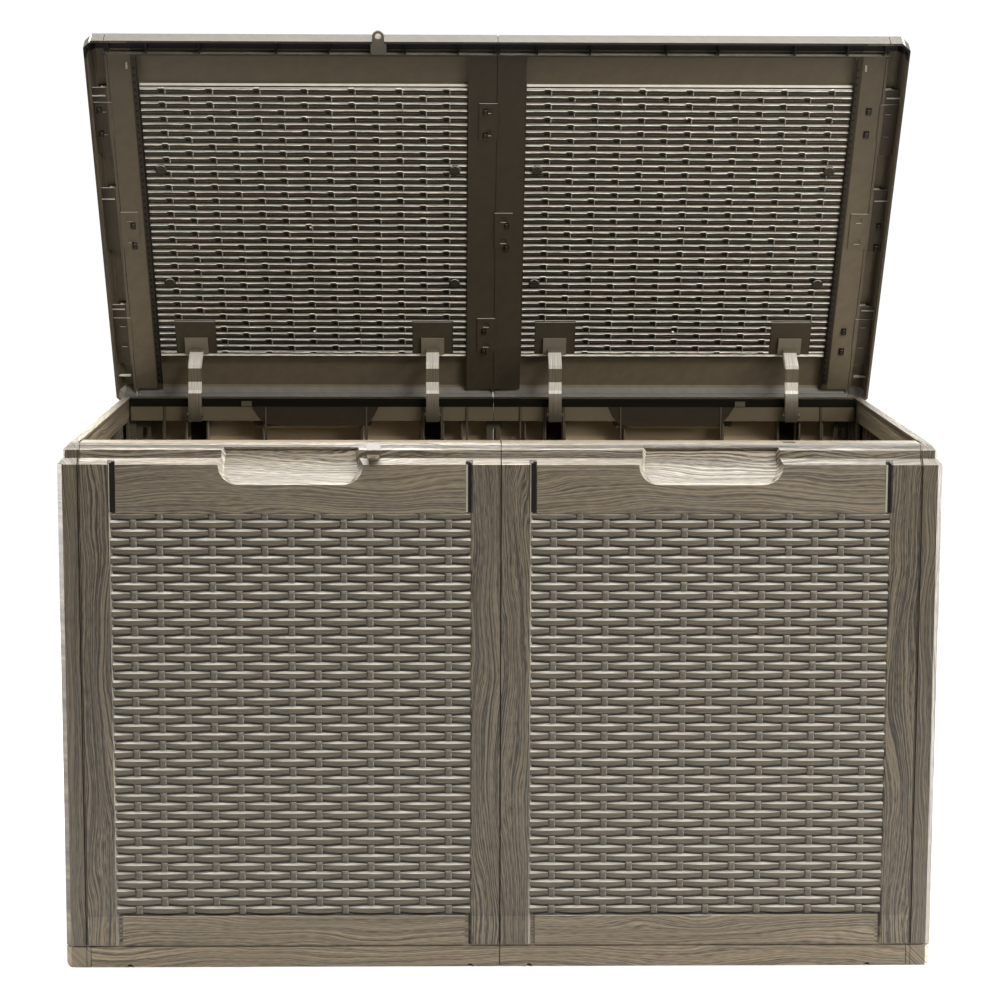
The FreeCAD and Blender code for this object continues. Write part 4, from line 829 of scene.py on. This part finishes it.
def weave_back(mesh, dark, low, high, rows, pads):
    """The woven field from behind: ridges along its strands and sloped troughs between them.

    At every second post a dark bar of painted shade, for the deeper notch there, lies below the ridge, with a
    slope beside it.
    """
    pitch = (high - low) / rows
    for index in range(rows + 1):
        row = high - index * pitch
        for left, right in clear_of(pads, row):
            ridge(mesh, left, right, row, index % 2)
    for index in range(rows):
        foot = high - (index + 1) * pitch
        for left, right in clear_of(pads, foot + pitch / 2):
            wedge(mesh, left, right, foot + 1.4, foot + 7.0, 1.3)
            for k in range(-POST_SIDES, POST_SIDES + 1):
                centre = k * LID_POST_PITCH
                if (k + index) % 2 or not left + 12 < centre < right - 10:
                    continue
                top = foot + pitch
                # A dark bar of painted shade in the notch at the post.
                bar(dark, (centre - 3.6, top - 5.2, -EMBED), (centre + 3.2, top - 0.9, 1.5))
                tick(mesh, centre + POST_HALF + 0.2, foot + 0.8, top - 1.0)


# Places: each matrix takes u, v and w in millimetres to the row frame.

LID_TURN = Matrix.Translation(HINGE) @ Matrix.Rotation(math.radians(-LID_OPEN), 4, "X")


def lid_top_matrix(middle):
    """u across, v towards the rear and w up from the closed lid's top."""
    return LID_TURN @ Matrix.Translation((middle, 0, LID_TOP))


def lid_back_matrix(middle):
    """u across, v towards the lid's front and w out of the back of its woven field."""
    axes = Matrix(((1, 0, 0, 0), (0, -1, 0, 0), (0, 0, -1, 0), (0, 0, 0, 1)))
    return LID_TURN @ Matrix.Translation((middle, 0, FIELD_FACE)) @ axes


def panel_matrix(place, turn=0):
    """u across, v up and w out of a face that is turned about Z."""
    axes = Matrix(((1, 0, 0, 0), (0, 0, -1, 0), (0, 1, 0, 0), (0, 0, 0, 1)))
    return Matrix.Translation(Vector(place)) @ Matrix.Rotation(math.radians(turn), 4, "Z") @ axes


def wall_places(side):
    """The walls of one side: name, matrix of the face and look of its weave."""
    return (
        ("front", panel_matrix((side * BAY, -HALF_Y, 0)), "weave_x"),
        ("rear", panel_matrix((side * BAY, HALF_Y, 0), 180), "weave_x"),
        ("side", panel_matrix((side * HALF_X, 0, 0), 90 * side), "weave_y"),
    )


# Lid.


def lid_frame(mesh, strip, dark, side):
    """Trim of the underside: the field's rear edge, the frame's foot and a dotted strip at the outer side."""
    wedge(mesh, -LID_WEAVE_HALF, LID_WEAVE_HALF, *REAR_EDGE, 2.2)
    wedge(mesh, *span(side, FRAME_REACH, side * LID_MIDDLE), *FRAME_FOOT, *FRAME_RISE)
    foot = STILE_FACE - EMBED
    middle = side * (LID_WEAVE_HALF + STRIP_HALF + STRIP_GAP)
    bar(strip, (middle - STRIP_HALF, STRIP[0], foot), (middle + STRIP_HALF, STRIP[1], STILE_FACE + 0.4))
    for index in range(int((STRIP[1] - STRIP[0]) / DOT_PITCH)):
        v = STRIP[0] + (index + 0.5) * DOT_PITCH
        bar(dark, (middle - 2.6, v - 2.4, foot), (middle + 0.6, v + 1.6, STILE_FACE + 0.7))
    edge = middle - side * (STRIP_HALF - 0.4)
    bar(dark, (edge - 0.9, STRIP[0], foot), (edge + 0.9, STRIP[1], STILE_FACE + 0.7))


def snap_window(mesh, dark, u, v):
    """A window in a snap plate, drawn as a dark bar of painted shade, with a lit lower edge and a tongue in
    it.
    """
    left, right, low = u - WINDOW_HALF, u + WINDOW_HALF, v - WINDOW_REACH
    bar(dark, (left, low, STILE_FACE), (right, v + WINDOW_REACH, SNAP_FACE + 0.25))
    wedge(mesh, left, right, low, low + 1.6, SNAP_FACE + 0.65, SNAP_FACE + 0.3)
    bar(mesh, (u - 1.4, v - 4, STILE_FACE), (u + 2.4, v + 3.4, SNAP_FACE + 0.5))


def lid_marks(mesh, dark, side):
    """Small moulded marks of the underside: ejector pads, gate pips, a hook, snap windows and cap ribs."""
    shift = side * LID_MIDDLE
    for reach, v in EJECTOR_PADS:
        centre = (side * reach - shift, v)
        # A dark disc under each pad leaves a ring of painted shade round its foot.
        disc(dark, centre, 8.6, 3.0)
        disc(mesh, centre, 7.9, 3.4, 0.5)
    for v in GATE_PIPS:
        disc(mesh, (side * GATE_REACH - shift, v), 2.0, 4.4, 1.6)
    hook = side * HOOK[0] - shift
    wedge(mesh, hook - 2, hook + 1, HOOK[1] - 4, HOOK[1] + 4, STILE_FACE + 4.0, STILE_FACE + 0.5)
    for reach, v in SNAP_WINDOWS[side]:
        snap_window(mesh, dark, reach - shift, v)
    for v in CAP_RIBS:
        wedge(mesh, *span(side, CAP_REACH, shift), v - 0.9, v + 0.6, STILE_FACE + 1.2, STILE_FACE + 0.4)


def lid_weaves(side):
    """One lid panel's woven field, above and below, with the marks round it."""
    name = SIDE_NAMES[side]
    middle = side * LID_MIDDLE
    front_row = LID_WEAVE_FRONT + SKIN
    rear_row = LID_WEAVE_REAR - SKIN
    top = Mesh(lid_top_matrix(middle))
    weave(
        top, front_row, rear_row, LID_ROWS, -LID_RECESS, LID_STRAND_RISE, LID_WEAVE_HALF - 2,
        end_half=5.3, end_rise=2.1, apart=LID_POST_PITCH,
    )
    top.piece(f"lid_weave_{name}", LID, "lid", M["weave_lid"])
    # The dark pieces, painted shade and the strip's dots, go in a piece of their own.
    back, shade_and_dots, strip = (Mesh(lid_back_matrix(middle)) for count in range(3))
    arms = (side * ARM_INNER - middle, side * ARM_OUTER - middle)
    pads = [(arm - PAD_HALF, arm + PAD_HALF) for arm in arms]
    weave_back(back, shade_and_dots, -rear_row - RIDGE_DROP, -front_row - RIDGE_DROP, LID_ROWS, pads)
    lid_frame(back, strip, shade_and_dots, side)
    lid_marks(back, shade_and_dots, side)
    back.piece(f"lid_weave_back_{name}", LID, "lid", M["weave_back"])
    shade_and_dots.piece(f"lid_hollows_{name}", LID, "lid", M["hollow"])
    strip.piece(f"lid_strip_{name}", LID, "lid", M["shadow"])


# Walls.


def wall_weave(wall, matrix, look, side_name):
    """The woven field of a wall, its first row partly behind the rail."""
    mesh = Mesh(matrix)
    low, high = WEAVE_LOW + ROW_RISE, WEAVE_HIGH + ROW_RISE
    reach = WEAVE_HALF - 1.5
    weave(mesh, low, high, WALL_ROWS, -WEAVE_DEPTH, WALL_STRAND_RISE, reach, hidden=ROW_RISE)
    mesh.piece(f"{wall}_weave_{side_name}", ROOT, "walls", M[look])


def channels(wall, matrix, side_name):
    """The two upright channels beside a wall's rail: dark bars of painted shade within, and a pale bar of
    painted light on their left edge.
    """
    dark, edges = Mesh(matrix), Mesh(matrix)
    foot = WEAVE_HIGH + 1
    for side in SIDE_NAMES:
        left, right = span(side, CHANNEL)
        bar(dark, (left + 2.2, foot, CHANNEL_FLOOR), (right - 0.6, SHOULDER_Z + 2, CHANNEL_DARK))
        bar(edges, (left - 0.4, foot, CHANNEL_FLOOR), (left + 2.4, SHOULDER_Z, CHANNEL_EDGE))
    # Dark bars of painted shade in the channels, and pale bars of painted light on their edges.
    dark.piece(f"{wall}_channels_{side_name}", ROOT, "walls", M["hollow"])
    edges.piece(f"{wall}_channel_lit_edges_{side_name}", ROOT, "walls", M["edge"])


def rear_wall_inside(side):
    """Marks of the rear wall's inner face: dark plates of painted shade over the scoop's back, beside the
    ribs and under each stay arm, and the ribs and hinge tab.
    """
    shadow = Mesh(panel_matrix((0, RIM_FACE, 0)))
    ribs = Mesh(panel_matrix((0, RIM_FACE, 0)))
    plate(shadow, [(side * u, v) for u, v in BULGE_LEFT + BULGE_RIGHT], -EMBED, BULGE_RISE)
    for reach in RIB_PLACES:
        u = side * reach
        low = (u - RIB_SHADOW_HALF, RIB_FOOT, -EMBED)
        bar(shadow, low, (u + RIB_SHADOW_HALF, RIM_SHADOW, RIB_SHADOW_RISE))
        bar(ribs, (u - RIB_HALF, RIB_FOOT, -EMBED), (u + RIB_HALF, RIM_SHADOW, RIB_RISE))
    for arm in (side * ARM_INNER, side * ARM_OUTER):
        low = (arm - ARM_SHADOW_HALF, ARM_SHADOW_FOOT, ARM_SHADOW_DEPTHS[0])
        bar(shadow, low, (arm + ARM_SHADOW_HALF, FLANGE_FOOT, ARM_SHADOW_DEPTHS[1]))
    tab = side * HINGE_TAB
    foot, top = TAB_HEIGHTS
    bar(ribs, (tab - TAB_HALF, foot, -EMBED), (tab + TAB_HALF, top, TAB_RISE))
    shadow.piece(f"rear_inside_shadow_{SIDE_NAMES[side]}", ROOT, "walls", M["shadow"])
    ribs.piece(f"rear_ribs_{SIDE_NAMES[side]}", ROOT, "walls", M["rib"])


def scoop_lip(side):
    """The rim's edge over the front finger scoop."""
    lip = Mesh(panel_matrix((side * BAY, LIP_FACE, 0)))
    wedge(lip, -SCOOP_HALF, SCOOP_HALF, *LIP, 0.1, 0.5)
    lip.piece(f"scoop_lip_{SIDE_NAMES[side]}", ROOT, "walls", M["wall"])


def seam_line(name, x):
    """A dark joint line up the front wall and over its rim."""
    mesh = Mesh(panel_matrix((x, 0, 0)))
    band = HALF_Y - SHOULDER
    path = [
        (SEAM_FOOT, HALF_Y),
        (SHOULDER_Z, HALF_Y),
        (SHOULDER_Z + SHOULDER, band),
        (BAND[1], band),
        (RIM_TOP, band - RIM_EDGE),
        (RIM_TOP, HALF_Y - RIM_BACK),
    ]
    rings = []
    for index, (v, w) in enumerate(path):
        before, after = path[max(index - 1, 0)], path[min(index + 1, len(path) - 1)]
        run = Vector((after[0] - before[0], after[1] - before[1])).normalized()
        out = Vector((-run.y, run.x))
        low, high = Vector((v, w)) - 0.3 * out, Vector((v, w)) + 0.4 * out
        rings.append([(-SEAM, *low), (SEAM, *low), (SEAM, *high), (-SEAM, *high)])
    mesh.loft(rings)
    mesh.piece(f"seam_{name}", ROOT, "walls", M["hollow"])


for side, side_name in SIDE_NAMES.items():
    for wall, matrix, look in wall_places(side):
        wall_weave(wall, matrix, look, side_name)
    lid_weaves(side)
for side, side_name in SIDE_NAMES.items():
    rear_wall_inside(side)
    scoop_lip(side)
    for wall, matrix, look in wall_places(side):
        channels(wall, matrix, side_name)
for name, x in (("left", -POST_SEAM), ("middle", 0), ("right", POST_SEAM)):
    seam_line(name, x)


# Floor, light and camera.


def stage_floor():
    """A plain pale floor, which ends behind the chest in the white surroundings."""
    mesh = bpy.data.meshes.new("studio_floor")
    corners = [(-9, -9, 0), (9, -9, 0), (9, 2.2, 0), (-9, 2.2, 0)]
    mesh.from_pydata(corners, [], [(0, 1, 2, 3)])
    shader = Shader("studio_floor_paint")
    bsdf = shader.add(
        "ShaderNodeBsdfPrincipled", {"Base Color": (0.6, 0.6, 0.6, 1), "Roughness": 0.9}
    )
    shader.add("ShaderNodeOutputMaterial", {"Surface": bsdf.outputs[0]})
    mesh.materials.append(shader.material)
    thing = bpy.data.objects.new("studio_floor", mesh)
    bpy.context.scene.collection.objects.link(thing)


def surroundings():
    """White surroundings behind the chest that fade to dark ones in front of it."""
    world = bpy.data.worlds.new("studio")
    bpy.context.scene.world = world
    world.use_nodes = True
    tree = world.node_tree
    tree.nodes.clear()
    direction = tree.nodes.new("ShaderNodeTexCoord").outputs["Generated"]
    split = tree.nodes.new("ShaderNodeSeparateXYZ")
    tree.links.new(direction, split.inputs[0])
    fade = tree.nodes.new("ShaderNodeMapRange")
    tree.links.new(split.outputs[1], fade.inputs[0])
    for socket, number in ((1, 0.0), (2, 0.7), (3, 0.04), (4, 1.05)):
        fade.inputs[socket].default_value = number
    background = tree.nodes.new("ShaderNodeBackground")
    tree.links.new(fade.outputs[0], background.inputs["Strength"])
    background.inputs["Color"].default_value = (1, 1, 1, 1)
    output = tree.nodes.new("ShaderNodeOutputWorld")
    tree.links.new(background.outputs[0], output.inputs["Surface"])


def softbox(name, place, aim, size, power, spread=180):
    """A rectangular lamp that shines from its place towards aim."""
    light = bpy.data.lights.new(name, "AREA")
    light.shape = "RECTANGLE"
    light.size, light.size_y = size
    light.energy = power
    light.spread = math.radians(spread)
    thing = bpy.data.objects.new(name, light)
    thing.location = place
    thing.rotation_euler = (Vector(aim) - Vector(place)).to_track_quat("-Z", "Y").to_euler()
    bpy.context.scene.collection.objects.link(thing)


def camera():
    """The photograph's viewpoint, worked out from the chest's own corners."""
    width, sensor = 1000, 36.0
    focal, centre = 2606.44, (498.07, 498.30)
    place = (-0.07377, -3.80843, 1.16189)
    pitch, yaw, roll = (math.radians(angle) for angle in (8.217, 1.140, 0.188))
    ahead = Vector(
        (math.sin(yaw) * math.cos(pitch), math.cos(yaw) * math.cos(pitch), -math.sin(pitch))
    )
    right = Vector((math.cos(yaw), -math.sin(yaw), 0))
    up = right.cross(ahead)
    level = math.cos(roll) * right + math.sin(roll) * up
    upward = -math.sin(roll) * right + math.cos(roll) * up
    data = bpy.data.cameras.new("camera")
    data.sensor_width = sensor
    data.lens = focal * sensor / width
    data.shift_x = (width / 2 - centre[0]) / width
    data.shift_y = (centre[1] - width / 2) / width
    thing = bpy.data.objects.new("camera", data)
    turn = Matrix((level, upward, -ahead)).transposed().to_4x4()
    thing.matrix_world = Matrix.Translation(place) @ turn
    bpy.context.scene.collection.objects.link(thing)
    bpy.context.scene.camera = thing


stage_floor()
surroundings()
softbox("top_softbox", (0.1, -0.35, 3.2), (0, 0.05, 0.5), (2.8, 0.9), 112, 130)
softbox("front_softbox", (1.8, -2.8, 3.3), (0.1, 0.0, 0.7), (1.6, 0.7), 90)
softbox("corner_softbox", (2.0, -1.4, 1.5), (0.5, -0.2, 0.4), (0.8, 0.8), 18)
softbox("right_softbox", (3.0, 0.3, 1.2), (0, 0.3, 0.6), (1.6, 1.8), 64, 120)
softbox("left_softbox", (-3.0, 0.4, 1.0), (0, 0.4, 0.6), (1.6, 1.8), 64, 120)
softbox("rear_softbox", (0, 2.6, 3.0), (0, 1.2, 0), (4.0, 1.2), 90, 120)
camera()
bpy.context.scene.view_settings.view_transform = "Standard"
